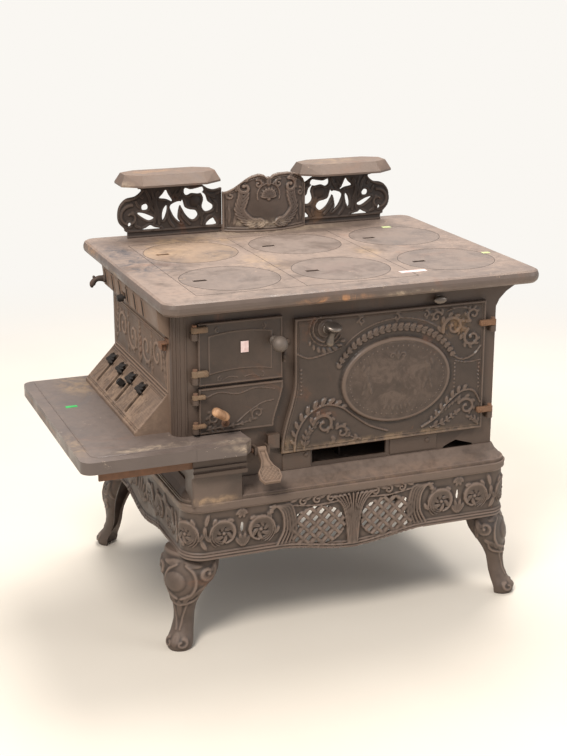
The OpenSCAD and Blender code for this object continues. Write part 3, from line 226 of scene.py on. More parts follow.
# ---------------------------------------------------------------- meshes
class Mesh:
    """Vertices in the stove's own millimetres, faces, and a relief value for each vertex."""

    def __init__(self):
        self.v, self.f, self.c, self.n = [], [], [], 0

    def add(self, verts, faces, cav=None):
        verts = np.asarray(verts, float).reshape(-1, 3)
        self.v.append(verts)
        self.c.append(np.zeros(len(verts)) if cav is None else np.asarray(cav, float))
        for q in faces:
            self.f.append(tuple(int(i) + self.n for i in q))
        self.n += len(verts)
        return self

    def skin(self, rings):
        """Faces between rings of points, with a cap on each end."""
        n, sides = len(rings), len(rings[0])
        f = []
        for i in range(n - 1):
            for k in range(sides):
                a0, b0 = i * sides + k, i * sides + (k + 1) % sides
                f.append((a0, a0 + sides, b0 + sides, b0))
        f.append(tuple(range(sides)))
        f.append(tuple((n - 1) * sides + k for k in reversed(range(sides))))
        return self.add(np.vstack(rings), f)

    def tube(self, path, radii, sides=14):
        """A round bar along a path, closed at both ends."""
        p = np.asarray(path, float)
        n = len(p)
        r = np.full(n, radii) if np.isscalar(radii) else np.asarray(radii, float)
        t = np.gradient(p, axis=0)
        t /= np.linalg.norm(t, axis=1)[:, None] + 1e-9
        rings = []
        for i in range(n):
            x = np.cross(t[i], (0, 0, 1))
            if np.linalg.norm(x) < 0.2:
                x = np.cross(t[i], (1, 0.2, 0))
            x /= np.linalg.norm(x)
            y = np.cross(x, t[i])
            k = np.arange(sides) * 2 * math.pi / sides
            rings.append(p[i] + r[i] * (np.outer(np.cos(k), x) + np.outer(np.sin(k), y)))
        return self.skin(rings)

    def turned(self, origin, axis, profile, sides=32):
        """A turned piece: profile holds (distance along the axis, radius)."""
        o, a = np.asarray(origin, float), np.asarray(axis, float)
        a = a / np.linalg.norm(a)
        path = [o + a * d for d, _ in profile]
        up = (0, 0, 1) if abs(a[2]) < 0.8 else (0, 1, 0)
        x = np.cross(a, up)
        x /= np.linalg.norm(x)
        y = np.cross(x, a)
        k = np.arange(sides) * 2 * math.pi / sides
        rings = [path[i] + max(profile[i][1], 0.05) * (np.outer(np.cos(k), x) + np.outer(np.sin(k), y))
                 for i in range(len(path))]
        return self.skin(rings)

    def block(self, x0, y0, z0, x1, y1, z1, b=1.2):
        """A box with its edges bevelled by b."""
        c = np.array([(x0 + x1) / 2, (y0 + y1) / 2, (z0 + z1) / 2])
        h = np.array([(x1 - x0) / 2, (y1 - y0) / 2, (z1 - z0) / 2])
        pts = []
        for s in itertools.product((-1, 1), repeat=3):
            for ax in range(3):
                d = h - b
                d[ax] = h[ax]
                pts.append(c + np.array(s) * d)
        bm = bmesh.new()
        vs = [bm.verts.new(p) for p in pts]
        bmesh.ops.convex_hull(bm, input=vs)
        bm.verts.index_update()
        out = self.add([tuple(v.co) for v in bm.verts], [[v.index for v in f.verts] for f in bm.faces])
        bm.free()
        return out

    def plate(self, R, place, thick, back="grid"):
        """The relief R as a closed plate. place(u, v, h) gives points from arrays, and h is 0 on the face.

        The back has the same grid as the front, or is one flat face for a plate without openings.
        """
        S = np.minimum(R.ground, 1e3)
        nv, nu = S.shape
        cell = (S[:-1, :-1] + S[1:, :-1] + S[:-1, 1:] + S[1:, 1:]) / 4
        keep = cell > 0
        cnt = np.zeros((nv, nu), int)            # kept cells round each point
        for corner in np.s_[:-1, :-1], np.s_[1:, :-1], np.s_[:-1, 1:], np.s_[1:, 1:]:
            cnt[corner] += keep
        used = cnt > 0
        edge = used & (cnt < 4)
        edge[0, :] = edge[-1, :] = False
        edge[:, 0] = edge[:, -1] = False
        # points on the outline move onto it, along the slope of its distance field
        du, dv = R.u[1] - R.u[0], R.v[1] - R.v[0]
        gv, gu = np.gradient(np.clip(S, -6, 6), dv, du)
        g2 = gu ** 2 + gv ** 2 + 1e-6
        k = -np.clip(S, -3 * du, 3 * du) / g2
        U = R.U + np.where(edge, np.clip(k * gu, -0.7 * du, 0.7 * du), 0)
        V = R.V + np.where(edge, np.clip(k * gv, -0.7 * dv, 0.7 * dv), 0)
        idx = np.full((nv, nu), -1)
        iv, iu = np.nonzero(used)
        idx[iv, iu] = np.arange(len(iv))
        hh = R.h[iv, iu]
        cav = (R.h - blur(R.h, 3, 2))[iv, iu]
        front = np.stack(place(U[iv, iu], V[iv, iu], hh), 1)
        m = len(iv)
        jy, jx = np.nonzero(keep)
        q = np.stack([idx[jy, jx], idx[jy, jx + 1], idx[jy + 1, jx + 1], idx[jy + 1, jx]], 1)
        faces = [tuple(r) for r in q]
        # the outline's edges: each belongs to one kept cell
        kp = np.zeros((nv + 1, nu + 1), bool)
        kp[1:-1, 1:-1] = keep
        sides = []
        for ax, ay, bx, by, oy, ox in ((0, 0, 1, 0, -1, 0), (1, 1, 0, 1, 1, 0),
                                       (0, 1, 0, 0, 0, -1), (1, 0, 1, 1, 0, 1)):
            out = keep & ~kp[1 + oy:1 + oy + keep.shape[0], 1 + ox:1 + ox + keep.shape[1]]
            ey, ex = np.nonzero(out)
            sides.append(np.stack([idx[ey + ay, ex + ax], idx[ey + by, ex + bx]], 1))
        sides = np.vstack(sides)
        if back == "grid":
            rear = np.stack(place(U[iv, iu], V[iv, iu], np.full(m, -float(thick))), 1)
            faces += [tuple(r[::-1] + m) for r in q]
            faces += [(b, a, a + m, b + m) for a, b in sides]
            return self.add(np.vstack([front, rear]), faces, np.concatenate([cav, np.zeros(m)]))
        # one flat face behind
        nxt = {int(a): int(b) for a, b in sides}
        start = next(iter(nxt))
        loop = [start]
        while nxt[loop[-1]] != start and len(loop) < len(nxt) + 2:
            loop.append(nxt[loop[-1]])
        L = len(loop)
        uu, vv = U[iv, iu][loop], V[iv, iu][loop]
        rear = np.stack(place(uu, vv, np.full(L, -float(thick))), 1)
        faces += [(loop[(i + 1) % L], loop[i], m + i, m + (i + 1) % L) for i in range(L)]
        faces.append(tuple(m + i for i in reversed(range(L))))
        return self.add(np.vstack([front, rear]), faces, np.concatenate([cav, np.zeros(L)]))

    def make(self, name, material, body="stove", nodes=(), slot="black_iron", angle=38):
        """Add the mesh to the scene, with its material, the body it rides on and the CAD nodes it replaces."""
        v = np.vstack(self.v)
        v = np.stack([SHIFT_X + v[:, 0] / 1000, SHIFT_Y + v[:, 1] / 1000, v[:, 2] / 1000], 1)
        me = bpy.data.meshes.new(name)
        me.from_pydata([tuple(p) for p in v.tolist()], [], self.f)
        me.validate()
        me.update()
        at = me.attributes.new("cav", "FLOAT", "POINT")
        at.data.foreach_set("value", np.concatenate(self.c).astype(np.float32))
        me.polygons.foreach_set("use_smooth", [True] * len(me.polygons))
        me.set_sharp_from_angle(angle=math.radians(angle))
        bm = bmesh.new()
        bm.from_mesh(me)
        bmesh.ops.recalc_face_normals(bm, faces=bm.faces)
        bm.to_mesh(me)
        bm.free()
        ob = bpy.data.objects.new(name, me)
        bpy.context.scene.collection.objects.link(ob)
        me.materials.append(material)
        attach(ob, body)
        if nodes:
            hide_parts(*nodes)
        return ob


# ---------------------------------------------------------------- materials
def lin(r, g, b):
    """An sRGB colour, 0 to 255, as the linear colour that nodes take."""
    def one(c):
        c /= 255
        return c / 12.92 if c <= 0.04045 else ((c + 0.055) / 1.055) ** 2.4
    return (one(r), one(g), one(b), 1.0)


def shade(color, k, add=0.0):
    return tuple(min(1, c * k + add) for c in color[:3]) + (1.0,)


def wire(tree, node, inputs):
    """Set a node's inputs, each to a value or to another node's output."""
    for key, value in inputs.items():
        if isinstance(value, bpy.types.NodeSocket):
            tree.links.new(value, node.inputs[key])
        else:
            node.inputs[key].default_value = value


def put(tree, kind, inputs=None, **settings):
    """Add a node to a tree."""
    node = tree.nodes.new("ShaderNode" + kind)
    for key, value in settings.items():
        setattr(node, key, value)
    wire(tree, node, inputs or {})
    return node


def two_tones(tree, fac, low, high, start=0.0, end=1.0):
    ramp = put(tree, "ValToRGB", {0: fac})
    for element, color, position in zip(ramp.color_ramp.elements, (low, high), (start, end)):
        element.color, element.position = color, position
    return ramp.outputs[0]


def iron(name, base, dust, rust, dust_all=0.3, dust_up=0.5, rust_amount=0.25, rough=(0.48, 0.78),
         chips=None, bump=0.35, metallic=0.0, ridge=0.6, seed=0.0, zones=()):
    """Old cast iron: dark ground, dust that settles on top, rust in patches, ridges lightened partly by rubbed wear
    and partly by a painted highlight, and hollows darkened by painted shade.

    A zone is a local patch: x, y, z, its half sizes the same way, its colour and its amount.
    """
    m = bpy.data.materials.new(name)
    m.use_nodes = True
    tree = m.node_tree
    tree.nodes.clear()
    place = put(tree, "TexCoord").outputs["Object"]
    shifted = put(tree, "Mapping", {"Vector": place, "Location": (seed, seed * 0.7, seed * 1.3)}).outputs[0]

    def noise(scale, detail=6, roughness=0.6, distortion=0.0):
        return put(tree, "TexNoise", {"Vector": shifted, "Scale": scale, "Detail": detail, "Roughness": roughness,
                                      "Distortion": distortion}).outputs["Fac"]

    def ramp(fac, lo, hi, a=0.0, b=1.0):
        return put(tree, "MapRange", {"Value": fac, "From Min": lo, "From Max": hi, "To Min": a, "To Max": b},
                   interpolation_type="SMOOTHSTEP").outputs["Result"]

    def times(a, b):
        return put(tree, "Math", {0: a, 1: b}, operation="MULTIPLY", use_clamp=True).outputs[0]

    def plus(a, b):
        return put(tree, "Math", {0: a, 1: b}, operation="ADD", use_clamp=True).outputs[0]

    def mix(fac, a, b):
        return put(tree, "Mix", {0: fac, 6: a, 7: b}, data_type="RGBA").outputs[2]

    # ground and dust
    big, mid, small, grain = noise(3.1, 4, 0.55, 0.4), noise(13, 7, 0.62, 0.6), noise(70, 5), noise(420, 3)
    col = mix(ramp(mid, 0.32, 0.68), shade(base, 0.62), base)
    geo = put(tree, "NewGeometry")
    up = ramp(put(tree, "SeparateXYZ", {0: geo.outputs["Normal"]}).outputs["Z"], 0.25, 0.95)
    d = times(ramp(big, 0.30, 0.70, 0.45, 1.3), dust_all)
    d = plus(d, times(times(up, dust_up), ramp(mid, 0.25, 0.62, 0.55, 1.25)))
    d = times(d, ramp(small, 0.28, 0.6, 0.72, 1.12))
    col = mix(d, col, dust)
    # ridges of the relief made lighter: partly rubbed wear, partly a painted highlight
    cav = put(tree, "Attribute", attribute_name="cav").outputs["Fac"]
    lighter = mix(0.5, shade(base, 1.9, 0.01), dust)
    col = mix(times(ramp(cav, 0.15, 1.5), ridge), col, lighter)
    # hollows of the relief made darker: painted shade where the recesses fall into shadow
    hollow = put(tree, "Math", {0: cav, 1: -1.0}, operation="MULTIPLY").outputs[0]
    col = mix(ramp(hollow, 0.12, 1.3, 0.0, 0.78), col, shade(base, 0.35))
    # rust in patches, with a scatter of small spots
    r1 = times(ramp(noise(5.2, 8, 0.68, 1.1), 0.62 - 0.28 * rust_amount, 0.80 - 0.20 * rust_amount), 0.85)
    r2 = times(ramp(noise(48, 6, 0.7, 0.4), 0.66 - 0.12 * rust_amount, 0.76), 0.75)
    most = put(tree, "Math", {0: r1, 1: r2}, operation="MAXIMUM", use_clamp=True).outputs[0]
    col = mix(times(most, min(1.0, 0.25 + rust_amount)), col, mix(ramp(small, 0.35, 0.65), shade(rust, 0.5), rust))
    # rubbed edges
    col = mix(times(ramp(geo.outputs["Pointiness"], 0.515, 0.56), 0.45), col, lighter)
    if chips:
        chipped = times(ramp(noise(26, 9, 0.72, 1.6), 0.63, 0.66), ramp(noise(7, 3, 0.5, 0.6), 0.50, 0.62))
        col = mix(times(chipped, 0.8), col, chips)
    mottle = noise(19, 10, 0.74, 1.3) if zones else None
    for *middle, rx, ry, rz, zone_col, amount in zones:
        # an ellipsoid round a place on the stove, with a broken edge
        px, py, pz = P(*middle)
        local = put(tree, "Mapping", {"Vector": place, "Scale": (1000 / rx, 1000 / ry, 1000 / rz), "Location":
                                      (-px * 1000 / rx, -py * 1000 / ry, -pz * 1000 / rz)}).outputs[0]
        away = put(tree, "VectorMath", {0: local}, operation="LENGTH").outputs["Value"]
        patch = times(ramp(away, 0.25, 1.25, 1.0, 0.0), ramp(mottle, 0.40, 0.60, 0.05, 1.1))
        patch = times(patch, ramp(small, 0.36, 0.58, 0.45, 1.1))
        col = mix(times(patch, amount), col, zone_col)
    coarse = put(tree, "Bump", {"Strength": bump, "Distance": 0.0012, "Height": small}).outputs[0]
    fine = put(tree, "Bump", {"Strength": bump * 0.8, "Distance": 0.0004, "Height": grain,
                              "Normal": coarse}).outputs[0]
    surface = put(tree, "BsdfPrincipled", {
        "Base Color": col, "Roughness": plus(ramp(mid, 0.3, 0.7, *rough), times(d, 0.15)), "Normal": fine,
        "Metallic": metallic, "Specular IOR Level": 0.42})
    put(tree, "OutputMaterial", {0: surface.outputs[0]})
    return m


# the seeds only move the noise, so that no two castings are stained alike
RUST = lin(146, 88, 52)
TAN = lin(176, 146, 112)
PALE = lin(206, 184, 158)
BLUE = lin(70, 68, 72)
FLECK = lin(188, 160, 134)
m_front = iron("front_iron", lin(60, 47, 39), lin(106, 88, 75), RUST, 0.10, 0.30, 0.18, (0.40, 0.66), seed=1,
               ridge=0.8)
m_door = iron("door_iron", lin(61, 49, 41), lin(112, 93, 80), RUST, 0.12, 0.30, 0.16, (0.34, 0.60), seed=2,
              ridge=0.85, zones=[(240, -290, 650, 40, 40, 30, lin(150, 112, 70), 0.35),
                                 (102, -300, 544, 140, 30, 102, lin(112, 94, 82), 0.4),
                                 (-150, -290, 415, 40, 60, 30, TAN, 0.25), (100, -290, 415, 260, 60, 10, TAN, 0.3)])
m_base = iron("base_iron", lin(76, 62, 53), lin(128, 110, 98), RUST, 0.16, 0.36, 0.16, (0.38, 0.64), seed=3,
              ridge=0.85, zones=[(-420, -200, 330, 40, 200, 30, TAN, 0.4), (-330, -330, 340, 60, 40, 12, TAN, 0.5),
                                 (120, -320, 340, 420, 60, 14, lin(136, 110, 92), 0.4)])
m_top = iron("top_iron", lin(74, 63, 57), lin(144, 124, 111), RUST, 0.14, 0.66, 0.22, (0.30, 0.58), seed=4, bump=0.3,
             chips=FLECK,
             zones=[(-385, 90, 772, 50, 230, 60, BLUE, 0.85), (-330, 0, 772, 60, 120, 40, BLUE, 0.45),
                    (-205, 215, 770, 150, 70, 30, TAN, 0.6), (30, 275, 770, 230, 36, 30, PALE, 0.55),
                    (-110, -60, 770, 50, 110, 20, TAN, 0.5), (150, -40, 770, 34, 80, 20, TAN, 0.45),
                    (-60, -345, 750, 90, 16, 9, lin(186, 134, 92), 0.8), (120, -345, 748, 70, 14, 8, PALE, 0.6),
                    (-430, 240, 760, 14, 70, 12, lin(180, 138, 100), 0.5), (-430, 60, 752, 10, 90, 5, TAN, 0.5),
                    (330, -300, 770, 160, 60, 20, lin(104, 90, 84), 0.6),
                    (0, -330, 770, 420, 24, 10, lin(96, 84, 78), 0.6)])
m_lid = iron("lid_iron", lin(76, 66, 60), lin(134, 116, 105), RUST, 0.14, 0.58, 0.18, (0.28, 0.56), seed=11,
             bump=0.25, chips=FLECK,
             zones=[(25, -167, 770, 90, 70, 30, lin(120, 100, 92), 0.5),
                    (240, 60, 770, 60, 60, 30, lin(98, 90, 86), 0.5),
                    (-230, -167, 770, 90, 60, 20, lin(104, 92, 86), 0.5)])
m_lid2 = iron("lid_iron_brown", lin(88, 73, 62), lin(156, 131, 109), RUST, 0.24, 0.50, 0.22, (0.38, 0.64), seed=21,
              bump=0.3, chips=FLECK,
              zones=[(-275, 130, 770, 70, 60, 30, lin(172, 142, 110), 0.45), (-170, 60, 770, 60, 60, 20, BLUE, 0.6),
                     (-290, 40, 770, 40, 40, 20, BLUE, 0.4)])
m_shelf = iron("shelf_iron", lin(78, 65, 57), lin(128, 108, 94), RUST, 0.12, 0.50, 0.34, (0.36, 0.62), seed=31,
               bump=0.4, chips=FLECK, zones=[(-250, 300, 925, 90, 40, 14, lin(160, 122, 90), 0.5),
                                   (-340, 250, 905, 22, 30, 12, PALE, 0.5), (210, 300, 925, 90, 50, 10, TAN, 0.3)])
m_hearth = iron("hearth_iron", lin(68, 60, 57), lin(128, 112, 102), RUST, 0.12, 0.46, 0.14, (0.26, 0.52), seed=5,
                chips=lin(206, 184, 162), bump=0.2,
                zones=[(-440, -325, 470, 110, 16, 10, PALE, 0.6), (-290, -345, 462, 50, 26, 12, PALE, 0.7),
                       (-260, -368, 458, 30, 8, 10, PALE, 0.6), (-500, 150, 470, 50, 90, 12, TAN, 0.5),
                       (-600, -250, 468, 20, 80, 8, TAN, 0.5), (-612, 20, 455, 8, 300, 6, lin(150, 112, 84), 0.5),
                       (-420, 60, 470, 30, 200, 8, TAN, 0.5)])
m_end = iron("end_iron", lin(80, 65, 55), lin(146, 121, 102), RUST, 0.30, 0.36, 0.30, seed=6, ridge=1.0,
             zones=[(-450, -60, 500, 60, 300, 60, lin(158, 132, 110), 0.6)])
m_black = iron("black_iron", lin(50, 40, 34), lin(98, 80, 68), RUST, 0.10, 0.36, 0.22, seed=7, ridge=0.8,
               zones=[(-60, 300, 790, 40, 30, 30, lin(112, 80, 58), 0.4),
                      (160, 300, 800, 30, 30, 40, lin(128, 92, 60), 0.35)])
m_splash = iron("splash_iron", lin(84, 70, 61), lin(134, 114, 100), RUST, 0.16, 0.36, 0.16, (0.40, 0.66), seed=33,
                ridge=0.9, zones=[(-20, 240, 790, 120, 60, 14, PALE, 0.45)])
m_soot = iron("soot_iron", lin(26, 22, 20), lin(54, 45, 39), RUST, 0.08, 0.25, 0.10, (0.6, 0.85), seed=15)
m_rust = iron("rusty_iron", lin(88, 62, 48), lin(132, 104, 84), lin(150, 98, 62), 0.15, 0.25, 0.60, (0.7, 0.92),
              seed=8, bump=0.6)
m_hinge = iron("hinge_iron", lin(86, 70, 56), lin(136, 112, 86), lin(138, 84, 48), 0.25, 0.30, 0.40, (0.6, 0.85),
               seed=18, bump=0.5)
m_hinge2 = iron("hinge_rust", lin(92, 66, 48), lin(132, 98, 72), lin(150, 88, 46), 0.20, 0.25, 0.65, (0.6, 0.85),
                seed=28, bump=0.5)
m_inner = iron("inner_iron", lin(42, 32, 26), lin(80, 64, 52), RUST, 0.10, 0.35, 0.5, (0.65, 0.9), seed=9)
m_nickel = iron("worn_nickel", lin(104, 96, 90), lin(126, 112, 100), lin(190, 150, 90), 0.12, 0.1, 0.20, (0.22, 0.45),
                seed=10, metallic=0.75, bump=0.12, ridge=0.2)
m_dullnickel = iron("dull_nickel", lin(94, 86, 80), lin(124, 108, 96), RUST, 0.2, 0.2, 0.16, (0.34, 0.55),
                    seed=19, metallic=0.35, bump=0.12, ridge=0.2)
m_brick = iron("firebox_lining", lin(80, 66, 57), lin(140, 130, 120), RUST, 0.4, 0.4, 0.4, (0.8, 0.95), seed=12)


def plain(name, color, dark, scale, rough, stretch=(1, 1, 1)):
    """Two tones of one colour broken by noise, for wood, paper and paint."""
    m = bpy.data.materials.new(name)
    m.use_nodes = True
    tree = m.node_tree
    place = put(tree, "TexCoord").outputs["Object"]
    stretched = put(tree, "Mapping", {"Vector": place, "Scale": stretch}).outputs[0]
    grain = put(tree, "TexNoise", {"Vector": stretched, "Scale": scale, "Detail": 7,
                                   "Distortion": 0.5}).outputs["Fac"]
    bump = put(tree, "Bump", {"Strength": 0.2, "Distance": 0.0006, "Height": grain})
    wire(tree, tree.nodes["Principled BSDF"], {
        "Base Color": two_tones(tree, grain, dark, color, 0.30, 0.62), "Roughness": rough, "Normal": bump.outputs[0]})
    return m


m_wood = plain("turned_wood", lin(190, 148, 112), lin(120, 84, 58), 90, 0.6, (1, 1, 0.25))
m_paper = plain("paper_tag", lin(226, 204, 200), lin(206, 176, 172), 90, 0.8)
m_green = plain("green_sticker", lin(60, 190, 96), lin(40, 160, 76), 60, 0.6)
m_tape = plain("yellow_tape", lin(196, 206, 150), lin(170, 176, 120), 90, 0.7)

# ---------------------------------------------------------------- base: skirts
SX0, SX1 = mm("skirt_left")[0], mm("skirt_right")[3]
SY0 = SKIRT[1]
SR = mm("skirt_left")[1] - SY0               # corner radius of the skirt
BELLY = (SX0 + SX1) / 2 - 1.5                # middle of the front skirt's belly
DIP = LEG_H - SKIRT[2]                       # how far a belly hangs down
SKIRT_TOP = SKIRT[5]


def skirt_relief(u0, u1, step, mid, half):
    """A skirt's plate with a belly of a given half-width, and the height above its lower edge."""
    R = Relief(u0, u1, LEG_H - DIP - 1, SKIRT_TOP, step)
    t = np.clip(np.abs((R.U - mid) / half), 0, 1)
    rise = R.V - (LEG_H - DIP * (0.5 + 0.5 * np.cos(np.pi * t)))
    R.ground = np.minimum(rise, SKIRT_TOP - R.V + 0.01)
    return R, rise


def whirl(R, cx, cz, r, s, height=5.0, out=3):
    """A round acanthus curl: ribs that wind inwards, curved plumes inside them, and leaf tips outside."""
    def turn(a, t):
        return (a, t) if s > 0 else (180 - a, -t)

    for k in range(4):
        rr = r - 4.7 * k
        rib = spiral_path(cx, cz, rr, rr * (0.66 + 0.05 * k), *turn(238 + 14 * k, -(318 - 30 * k)), 30)
        R.stroke(rib, 1.3, 2.4, height * (1 - 0.10 * k), swell=1.9)
        if k == 0:
            outer = rib
    for k in range(6):
        a = math.radians(turn(20 + 60 * k, 0)[0])
        root = (cx + 0.66 * r * math.cos(a), cz + 0.66 * r * math.sin(a))
        R.leaf(*root, math.degrees(a) + 180 - s * 38, 0.70 * r, 6.4, s * 62, height * 0.95, 0.28)
    R.dot(cx, cz, 5.0, height * 1.1)
    for k in range(out):
        i = 3 + k * 6
        d = outer[i + 1] - outer[i]
        ang = math.degrees(math.atan2(d[1], d[0]))
        R.leaf(*outer[i], ang + s * 40, 21 - 2 * k, 6.6, -s * 50, height * 0.85, 0.3)


def skirt_scrolls(R, s, x0):
    """The run from the lattice to the corner, mirrored by s about x0."""
    def at(x):
        return x0 + s * x

    # palm lines that rise beside the lattice and curl out at the top
    for k in range(5):
        pts = [(at(176 - 9 * k), LEG_H + 12), (at(161 - 7 * k), LEG_H + 44),
               (at(163 - 5 * k), LEG_H + 80 + 4 * k),
               (at(178 - 2 * k), LEG_H + 100), (at(192), LEG_H + 100 - 5 * k)]
        R.stroke(smooth_path(pts[:5 - (k > 2)]), 3.0, 2.2, 4.6 - 0.4 * k, swell=0.8)
    R.dot(at(190), LEG_H + 90, 6, 4.6)
    whirl(R, at(214), LEG_H + 54, 35, s)
    whirl(R, at(297), LEG_H + 56, 34, -s)
    for k in range(4):
        R.leaf(at(255), LEG_H + 20, 90 + (k - 1.5) * 24, 40 - 5 * abs(k - 1.5), 6.5, 0, 3.8)
        R.leaf(at(256), LEG_H + 106, 270 + (k - 1.5) * 30, 26 - 4 * abs(k - 1.5), 6, 0, 3.6)
    for k in range(3):
        R.leaf(at(336), LEG_H + 24 + 26 * k, 90 - s * (34 - 20 * k), 30, 7, s * 24, 3.8)


def front_skirt():
    arc = SR * math.pi / 2
    R, rise = skirt_relief(SX0 + SR - arc, SX1 - SR + arc, 1.9, BELLY, 180.0)
    X = R.U - BELLY
    Z = R.V - LEG_H
    for s in (-1, 1):
        skirt_scrolls(R, s, BELLY)
        whirl(R, BELLY + s * 382, LEG_H + 58, 33, s, 4.6, 5)
        # a run of small curls along the top edge, over the lattice
        for k, cx in enumerate((52, 84, 116)):
            R.scroll(BELLY + s * cx, LEG_H + 102, 10.5, 90, -s * 380, 3.4, 4.4)
            R.leaf(BELLY + s * (cx + 14), LEG_H + 108, 90 - s * 96, 18, 5, -s * 20, 3.6)
        R.stroke(smooth_path([(BELLY + s * 36, LEG_H + 92), (BELLY + s * 84, LEG_H + 89),
                              (BELLY + s * 140, LEG_H + 96)]), 2.2, 1.6, 3.6)
    # fluted sheaf between the lattices, spreading at its top
    for k in range(-5, 6):
        pts = [(BELLY + k * 2.2, LEG_H - 12), (BELLY + k * 3.0, LEG_H + 36), (BELLY + k * 4.6, LEG_H + 76),
               (BELLY + k * 8.4, LEG_H + 100), (BELLY + k * 11.0, LEG_H + 104)]
        R.stroke(smooth_path(pts), 2.0, 2.8, 5.4 - 0.2 * abs(k))
    strokes = R.open + 0.9
    # lattice: two sets of slanting bars
    a = (X + Z) / math.sqrt(2)
    b = (X - Z) / math.sqrt(2)
    pitch, half = 20.5, 4.1
    da = np.abs((a / pitch) % 1 - 0.5) * pitch
    db = np.abs((b / pitch) % 1 - 0.5) * pitch
    bars = half - np.minimum(da, db)
    lat = np.zeros_like(X) - 1e3
    for s in (-1, 1):
        e = 1 - np.sqrt(((X - s * 84) / 66) ** 2 + ((Z - 40) / 47) ** 2)
        lat = np.maximum(lat, e * 40)
    weave = np.where(da < db, np.cos(b / pitch * math.pi), -np.cos(b / pitch * math.pi))
    bar_h = 1.2 + 2.2 * np.sqrt(np.clip(1 - (np.minimum(da, db) / half) ** 2, 0, 1)) + 0.4 * weave
    # openings between the scrolls
    gap = np.full_like(X, -1e3)
    for s in (-1, 1):
        for cx, cz, rx, rz in ((214, 54, 21, 20), (297, 56, 20, 19), (255, 64, 4, 13)):
            e = 1 - np.sqrt(((X - s * cx) / rx) ** 2 + ((Z - cz) / rz) ** 2)
            gap = np.maximum(gap, e * rz)
    lattice_metal = np.where(lat > 0, np.maximum(bars, strokes), 1e3)
    gap_metal = np.where(gap > 0, np.maximum(strokes, -gap), 1e3)
    R.h = np.where((lat > 0) & (bars > -1) & (R.h < bar_h), np.maximum(R.h, bar_h), R.h)
    rim = np.maximum(12 - rise, R.V - (SKIRT_TOP - 6))
    metal = np.maximum(np.minimum(lattice_metal, gap_metal), rim)
    R.ground = np.minimum(R.ground, metal)
    R.beads(rise, ((3.0, 2.8, 3.0), (9.0, 2.6, 4.2), (14.5, 2.4, 2.6)))
    R.beads(SKIRT_TOP - R.V, ((3, 3, 2.4),))

    def place(u, v, h):
        """The plate is flat in the middle and turns round both corners."""
        x, y = np.copy(u), np.full_like(u, SY0) - h
        for s, c in ((-1, SX0 + SR), (1, SX1 - SR)):
            over = np.maximum(s * (u - c), 0)
            x = np.where(over > 0, c + s * (SR + h) * np.sin(over / SR), x)
            y = np.where(over > 0, SY0 + SR - (SR + h) * np.cos(over / SR), y)
        return x, y, v

    Mesh().plate(R, place, 6).make("skirt_front_cast", m_base, nodes=["skirt_front"], slot="dusty_iron")


def side_skirt(node, sgn):
    y0, y1 = mm(node)[1], mm(node)[4]
    mid = (y0 + y1) / 2
    R, rise = skirt_relief(y0 - 0.2, y1 + 0.2, 2.4, mid, 150.0)
    for s in (-1, 1):
        for k, cx in enumerate((66, 142, 218)):
            whirl(R, mid + s * cx, LEG_H + 58, 33, s * (1 if k % 2 else -1), 4.2)
        for k in range(4):
            R.leaf(mid + s * 262, LEG_H + 22 + 16 * k, 90 - s * (30 - 12 * k), 26, 6, s * 20, 3.6)
            R.leaf(mid + s * 104, LEG_H + 22, 90 + s * (k - 1.5) * 24, 36, 6, 0, 3.4)
            R.leaf(mid + s * 180, LEG_H + 102, 270 + s * (k - 1.5) * 24, 30, 6, 0, 3.4)
    for k in range(7):
        R.leaf(mid, LEG_H + 20, 90 + (k - 3) * 22, 66 - 7 * abs(k - 3), 7, 0, 4.2)
    R.beads(rise, ((3.0, 2.8, 3.0), (9.0, 2.6, 4.2), (14.5, 2.4, 2.6)))
    R.beads(SKIRT_TOP - R.V, ((3, 3, 2.4),))
    x = SX0 if sgn < 0 else SX1

    def place(u, v, h):
        return np.full_like(u, x) + sgn * h, u, v

    Mesh().plate(R, place, 7, back="flat").make(node + "_cast", m_base, nodes=[node], slot="black_iron")


# ---------------------------------------------------------------- base: legs
# rings of a leg: height as a share of the whole, shift outwards, half-width outwards and across
LEG_RINGS = [(0, 0, 25, 25), (0.03, 0, 28, 28), (0.09, 1, 28, 29), (0.17, 11, 24, 25), (0.28, 20, 21.5, 22.5),
             (0.37, 23, 21.5, 22.5), (0.46, 25, 24, 26), (0.55, 29, 29.5, 34), (0.64, 34, 36, 46),
             (0.73, 42, 41.5, 58), (0.83, 51, 45, 68), (0.92, 59, 44, 67), (1, 66, 40, 62)]


